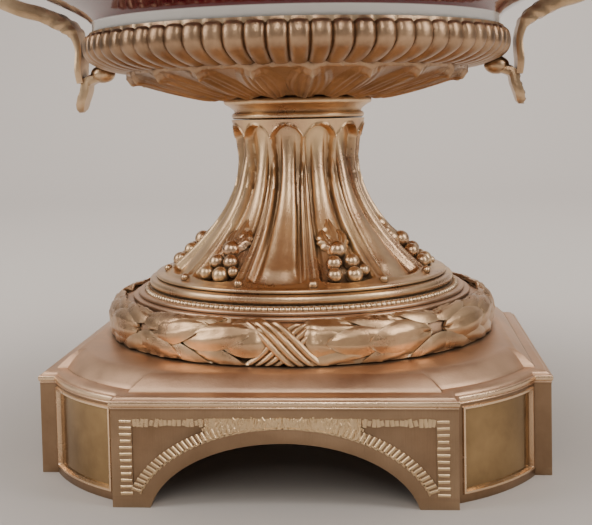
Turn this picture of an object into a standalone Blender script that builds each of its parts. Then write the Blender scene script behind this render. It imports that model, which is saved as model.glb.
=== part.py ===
"""A porcelain bowl in gilt-bronze mounts, on a fluted foot and a square plinth.

Metres, +Z up. The origin is at the middle of the plinth's underside. The handles
lie along X. Every piece is one closed solid, and pieces that rest on each other
keep a hair's gap, as their castings do.
"""

import math

import bmesh
import bpy

# Plinth
PLINTH_WIDTH = 0.180
PLINTH_HEIGHT = 0.0422
PLINTH_WALL = 0.0055
PLINTH_TOP_PLATE = 0.0100
PANEL_WIDTH = 0.1120
CORNER_SETBACK = 0.0058
CORNER_BOW = 0.0029
CORNER_STEPS = 6
FACE_HEIGHT = 0.0330
TOP_FILLET = 0.0022
TOP_FILLET_BULGE = 0.0006
TOP_BEAD_REACH = 0.0048
TOP_BEAD_RISE = 0.0015
TOP_BEAD_STEPS = 2
TOP_SLOPE_REACH = 0.0086
TOP_SLOPE_STEPS = 3
ARCH_SPAN = 0.0870
ARCH_RISE = 0.0212
ARCH_CENTRE_DROP = 0.0045
ARCH_STEPS = 16
BORDER_WIDTH = 0.0082
SPANDREL_EDGE = 0.0070
SPANDREL_TOP = 0.0268
SPANDREL_SINK = 0.0005
CORNER_FIELD_MARGIN = 0.0030
CORNER_FIELD_FOOT = 0.0040
CORNER_FIELD_TOP = 0.0304
CORNER_FIELD_SINK = 0.0008

# Wreath ring, with its fillets and beaded line
SEAT_GAP = 0.0003
RING_BORE = 0.0450
WREATH_RADIUS = 0.0697
WREATH_HALF_WIDTH = 0.0050
WREATH_SQUARENESS = 0.4
WREATH_HALF_HEIGHT = 0.0066
WREATH_CREST = 0.0014
WREATH_LEAVES = 18
WREATH_FACES_PER_LEAF = 4
WREATH_TURNS = (-45, -10, 25, 60)
RIBBON_COUNT = 4
RIBBON_HALF_ANGLE = math.radians(13.0)
RIBBON_CREST = 0.0011
FILLET_RADIUS = 0.0660
FILLET_HEIGHT = 0.0016
BEAD_LINE_RADIUS = 0.0608
BEAD_RADIUS = 0.0012

# Fluted foot
FLUTES = 12
FACES_PER_FLUTE = 6
FLUTE_PHASE = math.radians(9.0)
FOOT_DISC_RADIUS = 0.0600
FOOT_DISC_TOP_RADIUS = 0.0572
FOOT_DISC_EDGE = 0.0026
FOOT_FLARE_RADIUS = 0.0530
FOOT_WAIST_RADIUS = 0.0241
FOOT_WAIST_SHARE = 0.72
FOOT_FLARE_POWER = 1.9
FOOT_NECK_RADIUS = 0.0264
FOOT_HEIGHT = 0.0640
FLUTE_DEPTH = 0.0026
FLUTE_FULLNESS = 0.6
BERRY_SWELL = 0.0046
# Share of the shaft's height, share of the flutes' depth, share of the berries' swell
FLUTE_STATIONS = (
    (0.02, 0.3, 0.0),
    (0.09, 1.0, 0.9),
    (0.17, 1.0, 1.0),
    (0.27, 1.0, 0.0),
    (0.42, 1.0, 0.0),
    (0.60, 0.9, 0.0),
    (0.80, 0.8, 0.0),
    (0.94, 0.7, 0.0),
)

# Neck collar
COLLAR_RADIUS = 0.0293
COLLAR_WAIST_RADIUS = 0.0255
COLLAR_LOWER_RADIUS = 0.0262
COLLAR_HEIGHT = 0.0083
COLLAR_LOWER_SHARE = 0.26
COLLAR_WAIST_FOOT_SHARE = 0.36
COLLAR_WAIST_TOP_SHARE = 0.52
COLLAR_RING_SHARE = 0.70
COLLAR_STEPS = 40

# Gadrooned cup
CUP_RADIUS = 0.0832
CUP_SEAT_RADIUS = 0.0300
CUP_HEIGHT = 0.0251
CUP_RIM_WIDTH = 0.0032
CUP_RECESS_DEPTH = 0.0018
GADROONS = 70
GADROON_CREST = 0.0012
GADROON_HEIGHT = 0.0127
# Inset and height as shares of the gadroons' height, then the share of their relief
GADROON_STATIONS = ((0.40, 0.08, 0.6), (0.06, 0.45, 1.0), (0.0, 0.80, 1.0))
CUP_UNDER_INSET_SHARE = 0.55
CUP_UNDER_CURVE = 1.35
CUP_LEAVES = 20
CUP_LEAF_CREST = 0.0014
# Share of the way out from the seat, then the share of the leaves' relief
CUP_LEAF_STATIONS = ((0.35, 0.5), (0.7, 1.0), (0.95, 0.8))

# Porcelain bowl
BOWL_FOOT_CLEARANCE = 0.0006
BOWL_RIM_RADIUS = 0.1580
BOWL_HEIGHT = 0.1000
BOWL_WALL = 0.0040
BOWL_FLOOR = 0.0052
BOWL_STEPS = 44
BOWL_FOOT_BAND = 0.0047
BOWL_FLARE_REACH = 0.0122
BOWL_FLARE_RISE = 0.0080
BOWL_FLARE_CURVE = 0.7
BOWL_FLARE_STEPS = 3
BOWL_BODY_STEPS = 5
BOWL_BODY_START = math.radians(25)
BOWL_BODY_END = math.radians(86)
BOWL_LIP_ROLL = 0.0020
BOWL_LIP_WIDTH = 0.0028
BOWL_FOOT_RING = 0.0052
BOWL_UNDER_FLAT_SHARE = 0.62
BOWL_UNDER_COVE = 0.0005
WELL_EDGE_SHARE = 0.92
WELL_EDGE_RISE = 0.0016
WELL_FLAT_SHARE = 0.60

# Handles
HANDLE_WIDTH = 0.0130
HANDLE_CUP_GAP = 0.0016
STRAP_THIN = 0.0029
STRAP_THICK = 0.0060
STRAP_OUTREACH = 0.0200
STRAP_TOP_DROP = 0.0150
STRAP_SPAN_STEPS = 3
# The curl beside the cup: distance out, height over the cup's edge, share of the thickness
# (below the first bend it is a share of the thin end's), share of the width
STRAP_CURL = (
    (0.0002, -0.0182, 0.9, 0.8),
    (0.0006, -0.0130, 1.0, 1.0),
    (0.0003, -0.0040, 1.0, 1.0),
)
STRAP_BEND = (
    (0.0040, 0.0034, 0.7, 1.0),
    (0.0153, 0.0094, 1.0, 1.0),
    (0.0295, 0.0142, 1.0, 0.95),
)
STRAP_BELLY_INSET = 0.0060
STRAP_BELLY_RISE = 0.0330
STRAP_BACK_INSET = 0.0045
STRAP_BACK_RISE = 0.0080
STRAP_SHOULDER_INSET = 0.0020
STRAP_SHOULDER_DROP = 0.0150
STRAP_TURN_INSET = 0.0110
STRAP_TURN_DROP = 0.0012
STRAP_UPPER_THICK = 0.0048
STRAP_UPPER_WIDTH = 0.0104
STRAP_BACK_WIDTH = 0.00975
STRAP_CHAMFER = 0.6
TONGUE_LENGTH = 0.0123
TONGUE_WIDTH = 0.0090
TONGUE_THICKNESS = 0.0038
TONGUE_ROOT_SHARE = 0.7
TONGUE_HEAD_DROP = 0.0176
# Distance out from the strap's inner face, then shares of the tongue's length, thickness and width
TONGUE_STATIONS = (
    (-0.0010, 0.0, 1.0, 0.9),
    (0.0002, 0.32, 1.0, 1.0),
    (0.0016, 0.63, 1.0, 1.0),
    (0.0022, 0.90, 0.85, 0.7),
    (0.0022, 1.0, 0.35, 0.3),
)
BOSS_RADIUS = 0.0050
BOSS_HALF_HEIGHT = 0.0029
BOSS_INSET = 0.0051

# Heights at which the pieces stack
RING_FOOT_Z = PLINTH_HEIGHT + SEAT_GAP
WREATH_Z = RING_FOOT_Z + WREATH_HALF_HEIGHT
RING_TOP_Z = WREATH_Z + WREATH_HALF_HEIGHT + 2 * FILLET_HEIGHT + BEAD_RADIUS
FOOT_Z = RING_TOP_Z + SEAT_GAP
COLLAR_Z = FOOT_Z + FOOT_HEIGHT + SEAT_GAP
CUP_Z = COLLAR_Z + COLLAR_HEIGHT + SEAT_GAP
CUP_TOP_Z = CUP_Z + CUP_HEIGHT
BOWL_Z = CUP_TOP_Z - CUP_RECESS_DEPTH + SEAT_GAP
BOWL_FOOT_RADIUS = CUP_RADIUS - CUP_RIM_WIDTH - BOWL_FOOT_CLEARANCE


def clear_scene():
    for old in list(bpy.data.objects):
        bpy.data.objects.remove(old, do_unlink=True)


def finish(name, colour, metallic, roughness):
    """A plain material with the piece's colour."""
    material = bpy.data.materials.new(name)
    material.use_nodes = True
    shader = material.node_tree.nodes["Principled BSDF"]
    shader.inputs["Base Color"].default_value = (*colour, 1.0)
    shader.inputs["Metallic"].default_value = metallic
    shader.inputs["Roughness"].default_value = roughness
    return material


def gilt(piece):
    return finish(piece + "_gilt_bronze", (0.62, 0.40, 0.22), 1.0, 0.36)


def place(name, form, material):
    """Puts a bmesh into the scene as one named object with its faces pointing out."""
    bmesh.ops.recalc_face_normals(form, faces=form.faces[:])
    mesh = bpy.data.meshes.new(name)
    form.to_mesh(mesh)
    form.free()
    mesh.materials.append(material)
    mesh.shade_smooth()
    mesh.set_sharp_from_angle(angle=math.radians(35))
    body = bpy.data.objects.new(name, mesh)
    bpy.context.scene.collection.objects.link(body)
    return body


def skin(form, rings, closed):
    """Faces between neighbouring rings of points; closed joins the last ring to the first.

    A ring may have half as many points as its neighbour.
    """
    rows = [[form.verts.new(point) for point in ring] for ring in rings]
    pairs = list(zip(rows, rows[1:]))
    if closed:
        pairs.append((rows[-1], rows[0]))
    for lower, upper in pairs:
        if len(lower) == len(upper):
            for i in range(len(lower)):
                j = (i + 1) % len(lower)
                form.faces.new((lower[i], lower[j], upper[j], upper[i]))
            continue
        fine, coarse = (lower, upper) if len(lower) > len(upper) else (upper, lower)
        for i in range(len(coarse)):
            j = (i + 1) % len(coarse)
            form.faces.new((fine[2 * i], fine[2 * i + 1], coarse[i]))
            form.faces.new((fine[2 * i + 1], fine[(2 * i + 2) % len(fine)], coarse[j], coarse[i]))
    if not closed:
        form.faces.new(rows[0][::-1])
        form.faces.new(rows[-1])


def turned(name, stations, steps, material, closed=False, turn=0.0, coarse=()):
    """A turned piece. A station is a function of the angle that gives a radius and a height.

    The stations whose numbers are in coarse have half as many points.
    """
    form = bmesh.new()
    rings = []
    for number, station in enumerate(stations):
        ring = []
        points = steps // 2 if number in coarse else steps
        for i in range(points):
            angle = turn + math.tau * i / points
            radius, height = station(angle)
            ring.append((radius * math.cos(angle), radius * math.sin(angle), height))
        rings.append(ring)
    skin(form, rings, closed)
    return place(name, form, material)


def plain(radius, height):
    """A station that is a true circle."""
    return lambda angle: (radius, height)


def hide_cutter(cutter):
    cutter.hide_render = True
    cutter.display_type = "WIRE"


def combine(body, other, operation):
    """Cuts a hidden tool from a body, or joins it to the body."""
    step = body.modifiers.new(operation.lower() + "_" + other.name, "BOOLEAN")
    step.operation = operation
    step.solver = "EXACT"
    step.object = other
    hide_cutter(other)


def prism(name, outline, near, far, turn, material):
    """An outline in X and Z, drawn out along Y from near to far, then turned about Z."""
    form = bmesh.new()
    rings = []
    for y in (near, far):
        rings.append([(*turned_point(x, y, turn), z) for x, z in outline])
    skin(form, rings, closed=False)
    return place(name, form, material)


def turned_point(x, y, turn):
    """A point of the plan, turned about the middle."""
    return x * math.cos(turn) - y * math.sin(turn), x * math.sin(turn) + y * math.cos(turn)


def corner_arc(inset):
    """Centre, radius and half angle of the bowed corner, with the outline drawn in by inset."""
    near = PANEL_WIDTH / 2
    far = PLINTH_WIDTH / 2 - CORNER_SETBACK
    half_chord = (far - near) / math.sqrt(2)
    radius = (half_chord ** 2 + CORNER_BOW ** 2) / (2 * CORNER_BOW)
    centre = (near + far) / 2 - (radius - CORNER_BOW) / math.sqrt(2)
    reach = radius - inset
    side = near - inset - centre
    half_angle = math.pi / 4 - math.asin(side / reach)
    return centre, reach, half_angle


def plinth_outline(inset):
    """The plinth's plan: four flat panels and four bowed corners set back from them."""
    face = PLINTH_WIDTH / 2 - inset
    edge = PANEL_WIDTH / 2 - inset
    centre, radius, half_angle = corner_arc(inset)
    quarter = [(-edge, -face), (edge, -face)]
    for i in range(CORNER_STEPS + 1):
        angle = -math.pi / 4 - half_angle + 2 * half_angle * i / CORNER_STEPS
        quarter.append((centre + radius * math.cos(angle), -centre + radius * math.sin(angle)))
    outline = []
    for side in range(4):
        turn = side * math.pi / 2
        for x, y in quarter:
            outline.append(turned_point(x, y, turn))
    return outline


def arch_point(angle, border=0.0):
    """A point of the arch's half ellipse, or of a line drawn outside it by border."""
    height = ARCH_RISE + ARCH_CENTRE_DROP
    span = ARCH_SPAN / 2 / math.sqrt(1 - (ARCH_CENTRE_DROP / height) ** 2)
    x = (span + border) * math.cos(angle)
    return x, (height + border) * math.sin(angle) - ARCH_CENTRE_DROP


def spandrel_outline():
    """The sunk field between the arch's border, the panel's side and its top border."""
    height = ARCH_RISE + ARCH_CENTRE_DROP + BORDER_WIDTH
    span = arch_point(0.0, BORDER_WIDTH)[0]
    edge = PANEL_WIDTH / 2 - SPANDREL_EDGE
    low = math.acos(edge / span)
    high = math.asin(min(1.0, (SPANDREL_TOP + ARCH_CENTRE_DROP) / height))
    outline = [(edge, SPANDREL_TOP)]
    steps = ARCH_STEPS // 3
    for i in range(steps + 1):
        outline.append(arch_point(low + (high - low) * i / steps, BORDER_WIDTH))
    return outline


def plinth():
    bronze = gilt("plinth")
    step_z = FACE_HEIGHT + TOP_FILLET
    levels = [(0.0, 0.0), (0.0, FACE_HEIGHT)]
    levels.append((-TOP_FILLET_BULGE, FACE_HEIGHT + TOP_FILLET / 2))
    levels.append((0.0, step_z))
    for i in range(1, TOP_BEAD_STEPS + 1):
        angle = math.pi / 2 * i / TOP_BEAD_STEPS
        inset = TOP_BEAD_REACH * (1 - math.cos(angle))
        levels.append((inset, step_z + TOP_BEAD_RISE * math.sin(angle)))
    slope_foot = step_z + TOP_BEAD_RISE
    slope_rise = PLINTH_HEIGHT - slope_foot
    for i in range(1, TOP_SLOPE_STEPS + 1):
        share = i / TOP_SLOPE_STEPS
        inset = TOP_BEAD_REACH + TOP_SLOPE_REACH * share
        levels.append((inset, slope_foot + slope_rise * math.sin(math.pi / 2 * share)))
    cavity_top = PLINTH_HEIGHT - PLINTH_TOP_PLATE
    form = bmesh.new()
    rings = [[(x, y, cavity_top) for x, y in plinth_outline(PLINTH_WALL)]]
    rings.append([(x, y, 0.0) for x, y in plinth_outline(PLINTH_WALL)])
    for inset, height in levels:
        rings.append([(x, y, height) for x, y in plinth_outline(inset)])
    skin(form, rings, closed=False)
    body = place("plinth", form, bronze)
    cut_arches(body, bronze)
    cut_spandrels(body, bronze)
    cut_corner_fields(body, bronze)


def cut_arches(body, bronze):
    """An arched tunnel each way; it leaves an arch in every panel."""
    outline = [(ARCH_SPAN / 2, -ARCH_RISE), (ARCH_SPAN / 2, 0.0)]
    start = math.asin(ARCH_CENTRE_DROP / (ARCH_RISE + ARCH_CENTRE_DROP))
    for i in range(1, ARCH_STEPS):
        outline.append(arch_point(start + (math.pi - 2 * start) * i / ARCH_STEPS))
    outline += [(-ARCH_SPAN / 2, 0.0), (-ARCH_SPAN / 2, -ARCH_RISE)]
    for side in range(2):
        turn = side * math.pi / 2
        cutter = prism(f"arch_cutter_{side}", outline, -PLINTH_WIDTH, PLINTH_WIDTH, turn, bronze)
        combine(body, cutter, "DIFFERENCE")


def cut_spandrels(body, bronze):
    """Two sunk fields in each panel."""
    right = spandrel_outline()
    left = [(-x, z) for x, z in right]
    near = -PLINTH_WIDTH / 2 - SPANDREL_SINK
    far = -PLINTH_WIDTH / 2 + SPANDREL_SINK
    for side in range(4):
        turn = side * math.pi / 2
        for hand, outline in (("right", right), ("left", left)):
            cutter = prism(f"spandrel_{hand}_{side}", outline, near, far, turn, bronze)
            combine(body, cutter, "DIFFERENCE")


def cut_corner_fields(body, bronze):
    """A sunk field in each bowed corner."""
    centre, radius, half_angle = corner_arc(0.0)
    half_field = half_angle - CORNER_FIELD_MARGIN / radius
    inner = radius - CORNER_FIELD_SINK
    outer = radius + CORNER_FIELD_SINK
    for corner in range(4):
        middle = math.pi / 4 + corner * math.pi / 2
        x0 = centre * math.sqrt(2) * math.cos(middle)
        y0 = centre * math.sqrt(2) * math.sin(middle)
        outline = []
        for reach, way in ((inner, 1), (outer, -1)):
            for i in range(CORNER_STEPS + 1):
                angle = middle + way * half_field * (2 * i / CORNER_STEPS - 1)
                outline.append((x0 + reach * math.cos(angle), y0 + reach * math.sin(angle)))
        form = bmesh.new()
        rings = [[(x, y, z) for x, y in outline] for z in (CORNER_FIELD_FOOT, CORNER_FIELD_TOP)]
        skin(form, rings, closed=False)
        cutter = place(f"corner_cutter_{corner}", form, bronze)
        combine(body, cutter, "DIFFERENCE")


def wreath_relief(angle, around):
    """How far the wreath stands out: leaves that point to the nearest ribbon, and the ribbons."""
    quarter = math.tau / RIBBON_COUNT
    to_ribbon = (angle + quarter / 2) % quarter - quarter / 2
    if abs(to_ribbon) < RIBBON_HALF_ANGLE:
        return RIBBON_CREST
    pitch = math.tau / WREATH_LEAVES
    along = (abs(to_ribbon) / pitch + 0.5 * (round(around * 2) % 2)) % 1.0
    return WREATH_CREST * along


def wreath_ring():
    """The laurel roll, square below and round above, then two fillets and the beaded line."""
    def leafy(turn):
        def station(angle):
            crest = wreath_relief(angle, turn)
            reach = math.cos(turn) ** (WREATH_SQUARENESS if turn < 0 else 1.0)
            radius = WREATH_RADIUS + (WREATH_HALF_WIDTH + crest) * reach
            height = WREATH_Z + WREATH_HALF_HEIGHT * math.sin(turn) + crest * math.sin(turn) / 2
            return radius, height
        return station

    torus_top = WREATH_Z + WREATH_HALF_HEIGHT
    fillet_top = torus_top + FILLET_HEIGHT
    bead_z = fillet_top + FILLET_HEIGHT
    bead_outer = BEAD_LINE_RADIUS + BEAD_RADIUS
    stations = [plain(RING_BORE, RING_FOOT_Z), plain(WREATH_RADIUS, RING_FOOT_Z)]
    stations += [leafy(math.radians(turn)) for turn in WREATH_TURNS]
    stations.append(plain(WREATH_RADIUS, torus_top))
    stations.append(plain(FILLET_RADIUS, torus_top))
    stations.append(plain(FILLET_RADIUS, fillet_top))
    stations.append(plain(bead_outer, bead_z))
    stations.append(plain(bead_outer - BEAD_RADIUS / 2, RING_TOP_Z))
    stations.append(plain(RING_BORE, RING_TOP_Z))
    steps = WREATH_LEAVES * WREATH_FACES_PER_LEAF
    turned("wreath_ring", stations, steps, gilt("wreath_ring"), closed=True)


def foot_profile(share):
    """Radius of the foot's ribs at a share of the height above its disc, a trumpet curve."""
    if share < FOOT_WAIST_SHARE:
        fall = (1 - share / FOOT_WAIST_SHARE) ** FOOT_FLARE_POWER
        return FOOT_WAIST_RADIUS + (FOOT_FLARE_RADIUS - FOOT_WAIST_RADIUS) * fall
    rise = ((share - FOOT_WAIST_SHARE) / (1 - FOOT_WAIST_SHARE)) ** 2
    return FOOT_WAIST_RADIUS + (FOOT_NECK_RADIUS - FOOT_WAIST_RADIUS) * rise


def fluted_foot():
    """Twelve flutes between ribs; every second one carries a berry sprig near its foot."""
    disc_top = FOOT_Z + 2 * FOOT_DISC_EDGE
    shaft = FOOT_HEIGHT - 2 * FOOT_DISC_EDGE

    def fluted(share, depth, berries):
        def station(angle):
            place_in_flute = (angle - FLUTE_PHASE) / (math.tau / FLUTES)
            hollow = math.sin(math.pi * (place_in_flute % 1.0)) ** FLUTE_FULLNESS
            radius = foot_profile(share) - FLUTE_DEPTH * depth * hollow
            if int(place_in_flute // 1) % 2 == 1:
                radius += BERRY_SWELL * berries * hollow ** 2
            return radius, disc_top + shaft * share
        return station

    stations = [plain(FOOT_DISC_RADIUS, FOOT_Z), plain(FOOT_DISC_RADIUS, FOOT_Z + FOOT_DISC_EDGE)]
    stations.append(plain(FOOT_DISC_TOP_RADIUS, disc_top))
    stations += [fluted(*station) for station in FLUTE_STATIONS]
    stations.append(plain(FOOT_NECK_RADIUS, disc_top + shaft))
    steps = FLUTES * FACES_PER_FLUTE
    turned("fluted_foot", stations, steps, gilt("fluted_foot"), turn=FLUTE_PHASE)


def neck_collar():
    """A ring above, a waist and a lower ring."""
    stations = []
    for radius, share in (
        (COLLAR_LOWER_RADIUS, 0.0),
        (COLLAR_LOWER_RADIUS, COLLAR_LOWER_SHARE),
        (COLLAR_WAIST_RADIUS, COLLAR_WAIST_FOOT_SHARE),
        (COLLAR_WAIST_RADIUS, COLLAR_WAIST_TOP_SHARE),
        (COLLAR_RADIUS, COLLAR_RING_SHARE),
        (COLLAR_RADIUS, 1.0),
    ):
        stations.append(plain(radius, COLLAR_Z + COLLAR_HEIGHT * share))
    turned("neck_collar", stations, COLLAR_STEPS, gilt("neck_collar"))


def cup_profile(share):
    """The cup's underside, from its seat to the gadroons: nearly flat, then rising."""
    reach = CUP_RADIUS - GADROON_HEIGHT * CUP_UNDER_INSET_SHARE
    radius = CUP_SEAT_RADIUS + (reach - CUP_SEAT_RADIUS) * share
    height = CUP_Z + (CUP_HEIGHT - GADROON_HEIGHT) * share ** CUP_UNDER_CURVE
    return radius, height


def gadrooned_cup():
    """Leaves beneath, a gadrooned edge, and a recess that the bowl's foot stands in."""
    def leaf(share, crest):
        def station(angle):
            radius, height = cup_profile(share)
            swell = abs(math.sin(angle * CUP_LEAVES / 2))
            return radius, height - CUP_LEAF_CREST * crest * swell
        return station

    def gadroon(radius, height, crest):
        def station(angle):
            swell = 0.5 + 0.5 * math.cos(angle * GADROONS)
            return radius - GADROON_CREST * crest * (1 - swell), height
        return station

    foot_of_gadroons = CUP_TOP_Z - GADROON_HEIGHT
    stations = [plain(CUP_SEAT_RADIUS, CUP_Z)]
    stations += [leaf(share, crest) for share, crest in CUP_LEAF_STATIONS]
    under_stations = set(range(len(stations)))
    for inset, rise, crest in GADROON_STATIONS:
        radius = CUP_RADIUS - GADROON_HEIGHT * inset
        stations.append(gadroon(radius, foot_of_gadroons + GADROON_HEIGHT * rise, crest))
    stations.append(plain(CUP_RADIUS - GADROON_CREST, CUP_TOP_Z))
    stations.append(plain(CUP_RADIUS - CUP_RIM_WIDTH, CUP_TOP_Z))
    stations.append(plain(CUP_RADIUS - CUP_RIM_WIDTH, CUP_TOP_Z - CUP_RECESS_DEPTH))
    recess_stations = {len(stations) - 2, len(stations) - 1}
    coarse = under_stations | recess_stations
    turned("gadrooned_cup", stations, 2 * GADROONS, gilt("gadrooned_cup"), coarse=coarse)


def bowl_curve():
    """Points up the bowl's outer side: foot band, concave flare, round body, lip."""
    foot = BOWL_FOOT_RADIUS
    points = [(foot, 0.0), (foot, BOWL_FOOT_BAND)]
    for i in range(1, BOWL_FLARE_STEPS + 1):
        run = i / BOWL_FLARE_STEPS
        height = BOWL_FOOT_BAND + BOWL_FLARE_RISE * run ** BOWL_FLARE_CURVE
        points.append((foot + BOWL_FLARE_REACH * run, height))
    start_radius, start_height = points[-1]
    full_run = math.sin(BOWL_BODY_END) - math.sin(BOWL_BODY_START)
    full_rise = math.cos(BOWL_BODY_START) - math.cos(BOWL_BODY_END)
    lip_radius = BOWL_RIM_RADIUS - BOWL_LIP_ROLL
    lip_height = BOWL_HEIGHT - 2 * BOWL_LIP_ROLL
    for i in range(1, BOWL_BODY_STEPS + 1):
        angle = BOWL_BODY_START + (BOWL_BODY_END - BOWL_BODY_START) * i / BOWL_BODY_STEPS
        run = (math.sin(angle) - math.sin(BOWL_BODY_START)) / full_run
        rise = (math.cos(BOWL_BODY_START) - math.cos(angle)) / full_rise
        radius = start_radius + (lip_radius - start_radius) * run
        points.append((radius, start_height + (lip_height - start_height) * rise))
    points.append((BOWL_RIM_RADIUS, BOWL_HEIGHT))
    return points


def inner_curve(outer):
    """The outer curve drawn in by the wall, from the rim down to the well's floor."""
    inner = [(outer[-1][0] - BOWL_LIP_WIDTH, outer[-1][1])]
    body_start = 1 + BOWL_FLARE_STEPS
    for i in range(len(outer) - 2, body_start - 1, -1):
        before, after = outer[i - 1], outer[i + 1]
        run, rise = after[0] - before[0], after[1] - before[1]
        length = math.hypot(run, rise)
        radius = outer[i][0] - BOWL_WALL * rise / length
        inner.append((radius, outer[i][1] + BOWL_WALL * run / length))
    floor = BOWL_FOOT_BAND + BOWL_FLOOR
    inner.append((BOWL_FOOT_RADIUS * WELL_EDGE_SHARE, floor + WELL_EDGE_RISE))
    inner.append((BOWL_FOOT_RADIUS * WELL_FLAT_SHARE, floor))
    return inner


def porcelain_bowl():
    """An open bowl with a standing foot ring; the space inside the foot ring is hollow from below."""
    outer = bowl_curve()
    inner = inner_curve(outer)
    ring_inside = BOWL_FOOT_RADIUS - BOWL_FOOT_RING
    under = [(ring_inside * BOWL_UNDER_FLAT_SHARE, BOWL_FOOT_BAND)]
    under.append((ring_inside, BOWL_FOOT_BAND - BOWL_UNDER_COVE))
    under.append((ring_inside, 0.0))
    stations = [plain(radius, BOWL_Z + height) for radius, height in under + outer + inner]
    glaze = finish("porcelain_bowl_glaze", (0.20, 0.02, 0.025), 0.0, 0.12)
    turned("porcelain_bowl", stations, BOWL_STEPS, glaze)


def outer_radius_at(height):
    """The bowl's outer radius at a height above its foot."""
    points = bowl_curve()
    for (low_radius, low), (high_radius, high) in zip(points, points[1:]):
        if low <= height <= high and high > low:
            return low_radius + (high_radius - low_radius) * (height - low) / (high - low)
    return points[-1][0]


def smooth_line(points, steps):
    """A smooth line through points, each with any number of values."""
    line = []
    for k in range(len(points) - 1):
        before = points[max(k - 1, 0)]
        start, end = points[k], points[k + 1]
        after = points[min(k + 2, len(points) - 1)]
        for i in range(steps):
            t = i / steps
            values = []
            for a, b, c, d in zip(before, start, end, after):
                square = 2 * a - 5 * b + 4 * c - d
                cube = 3 * b - a - 3 * c + d
                values.append(b + 0.5 * ((c - a) * t + square * t * t + cube * t ** 3))
            line.append(values)
    line.append(list(points[-1]))
    return line


def band(form, route, side):
    """A band with a bevelled section along a route of points: radius, height, thickness, width."""
    rings = []
    for i, (radius, height, thick, width) in enumerate(route):
        before, after = route[max(i - 1, 0)], route[min(i + 1, len(route) - 1)]
        run, rise = after[0] - before[0], after[1] - before[1]
        length = math.hypot(run, rise)
        across = (-rise / length, run / length)
        ring = []
        flat = STRAP_CHAMFER
        for out, over in ((1, flat), (0, 1), (-1, flat), (-1, -flat), (0, -1), (1, -flat)):
            x = radius + across[0] * out * thick / 2
            z = height + across[1] * out * thick / 2
            ring.append((side * x, over * width / 2, z))
        rings.append(ring)
    skin(form, rings, closed=False)


def strap_route():
    """From the curl beside the cup, out under the bowl, up, and back to its wall below the rim."""
    middle = CUP_RADIUS + HANDLE_CUP_GAP + STRAP_THIN / 2
    top = BOWL_Z + BOWL_HEIGHT - STRAP_TOP_DROP
    wall = outer_radius_at(BOWL_HEIGHT - STRAP_TOP_DROP + STRAP_THICK / 2) + SEAT_GAP
    reach = BOWL_RIM_RADIUS + STRAP_OUTREACH
    half_way = (CUP_TOP_Z + top) / 2
    points = []
    for full, stretch in ((STRAP_THIN, STRAP_CURL), (STRAP_THICK, STRAP_BEND)):
        for out, rise, thick, wide in stretch:
            points.append((middle + out, CUP_TOP_Z + rise, full * thick, HANDLE_WIDTH * wide))
    for radius, height, width in (
        (BOWL_RIM_RADIUS - STRAP_BELLY_INSET, CUP_TOP_Z + STRAP_BELLY_RISE, STRAP_UPPER_WIDTH),
        (reach - STRAP_BACK_INSET, half_way + STRAP_BACK_RISE, STRAP_BACK_WIDTH),
        (reach - STRAP_SHOULDER_INSET, top - STRAP_SHOULDER_DROP, STRAP_BACK_WIDTH),
        (reach - STRAP_TURN_INSET, top - STRAP_TURN_DROP, STRAP_UPPER_WIDTH),
        (wall, top, STRAP_UPPER_WIDTH),
    ):
        points.append((radius, height, STRAP_UPPER_THICK, width))
    return smooth_line(points, STRAP_SPAN_STEPS)


def boss_place():
    """Radius and height of the boss's middle, close under the cup's edge."""
    return CUP_RADIUS - BOSS_INSET, CUP_TOP_Z - GADROON_HEIGHT - SEAT_GAP - BOSS_HALF_HEIGHT


def tongue_route():
    """The leaf that springs from the boss, passes the strap's end and hangs, rounding to its tip."""
    inner = CUP_RADIUS + HANDLE_CUP_GAP
    head = CUP_TOP_Z - TONGUE_HEAD_DROP
    root = TONGUE_ROOT_SHARE
    points = [(*boss_place(), TONGUE_THICKNESS * root, TONGUE_WIDTH * root)]
    for out, share, thick, wide in TONGUE_STATIONS:
        height = head - TONGUE_LENGTH * share
        points.append((inner + out, height, TONGUE_THICKNESS * thick, TONGUE_WIDTH * wide))
    return smooth_line(points, 2)


def handle(name, side):
    """Strap, tongue and boss, cast as one."""
    bronze = gilt(name)
    form = bmesh.new()
    band(form, strap_route(), side)
    body = place(name, form, bronze)
    form = bmesh.new()
    band(form, tongue_route(), side)
    tongue = place(name + "_tongue_tool", form, bronze)
    combine(body, tongue, "UNION")
    boss_x, boss_z = boss_place()
    bpy.ops.mesh.primitive_uv_sphere_add(segments=10, ring_count=7, radius=BOSS_RADIUS)
    boss = bpy.context.object
    flattening = BOSS_HALF_HEIGHT / BOSS_RADIUS
    for vertex in boss.data.vertices:
        x, y, z = vertex.co
        vertex.co = (x + side * boss_x, y, z * flattening + boss_z)
    boss.name = name + "_boss_tool"
    combine(body, boss, "UNION")


def build():
    clear_scene()
    plinth()
    wreath_ring()
    fluted_foot()
    neck_collar()
    gadrooned_cup()
    porcelain_bowl()
    handle("handle_right", 1)
    handle("handle_left", -1)


build()
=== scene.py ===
# %% [markdown]
# # A porcelain bowl in gilt-bronze mounts
#
# The object is a bowl of white and dark red porcelain that stands in cast, chased and gilt
# bronze mounts: a square plinth, a laurel wreath, a fluted foot, a gadrooned cup and two
# strap handles. Each mount is a casting that was worked over with punches and files, so
# the surface is full of small relief. We model that relief as real mesh, because it has to
# hold up from every side, and we leave only the grain of the metal to the materials.

# %% Load the frame
import math
import random
from functools import partial

import bmesh
import bpy
import numpy as np
from mathutils import Matrix, Vector


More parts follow.
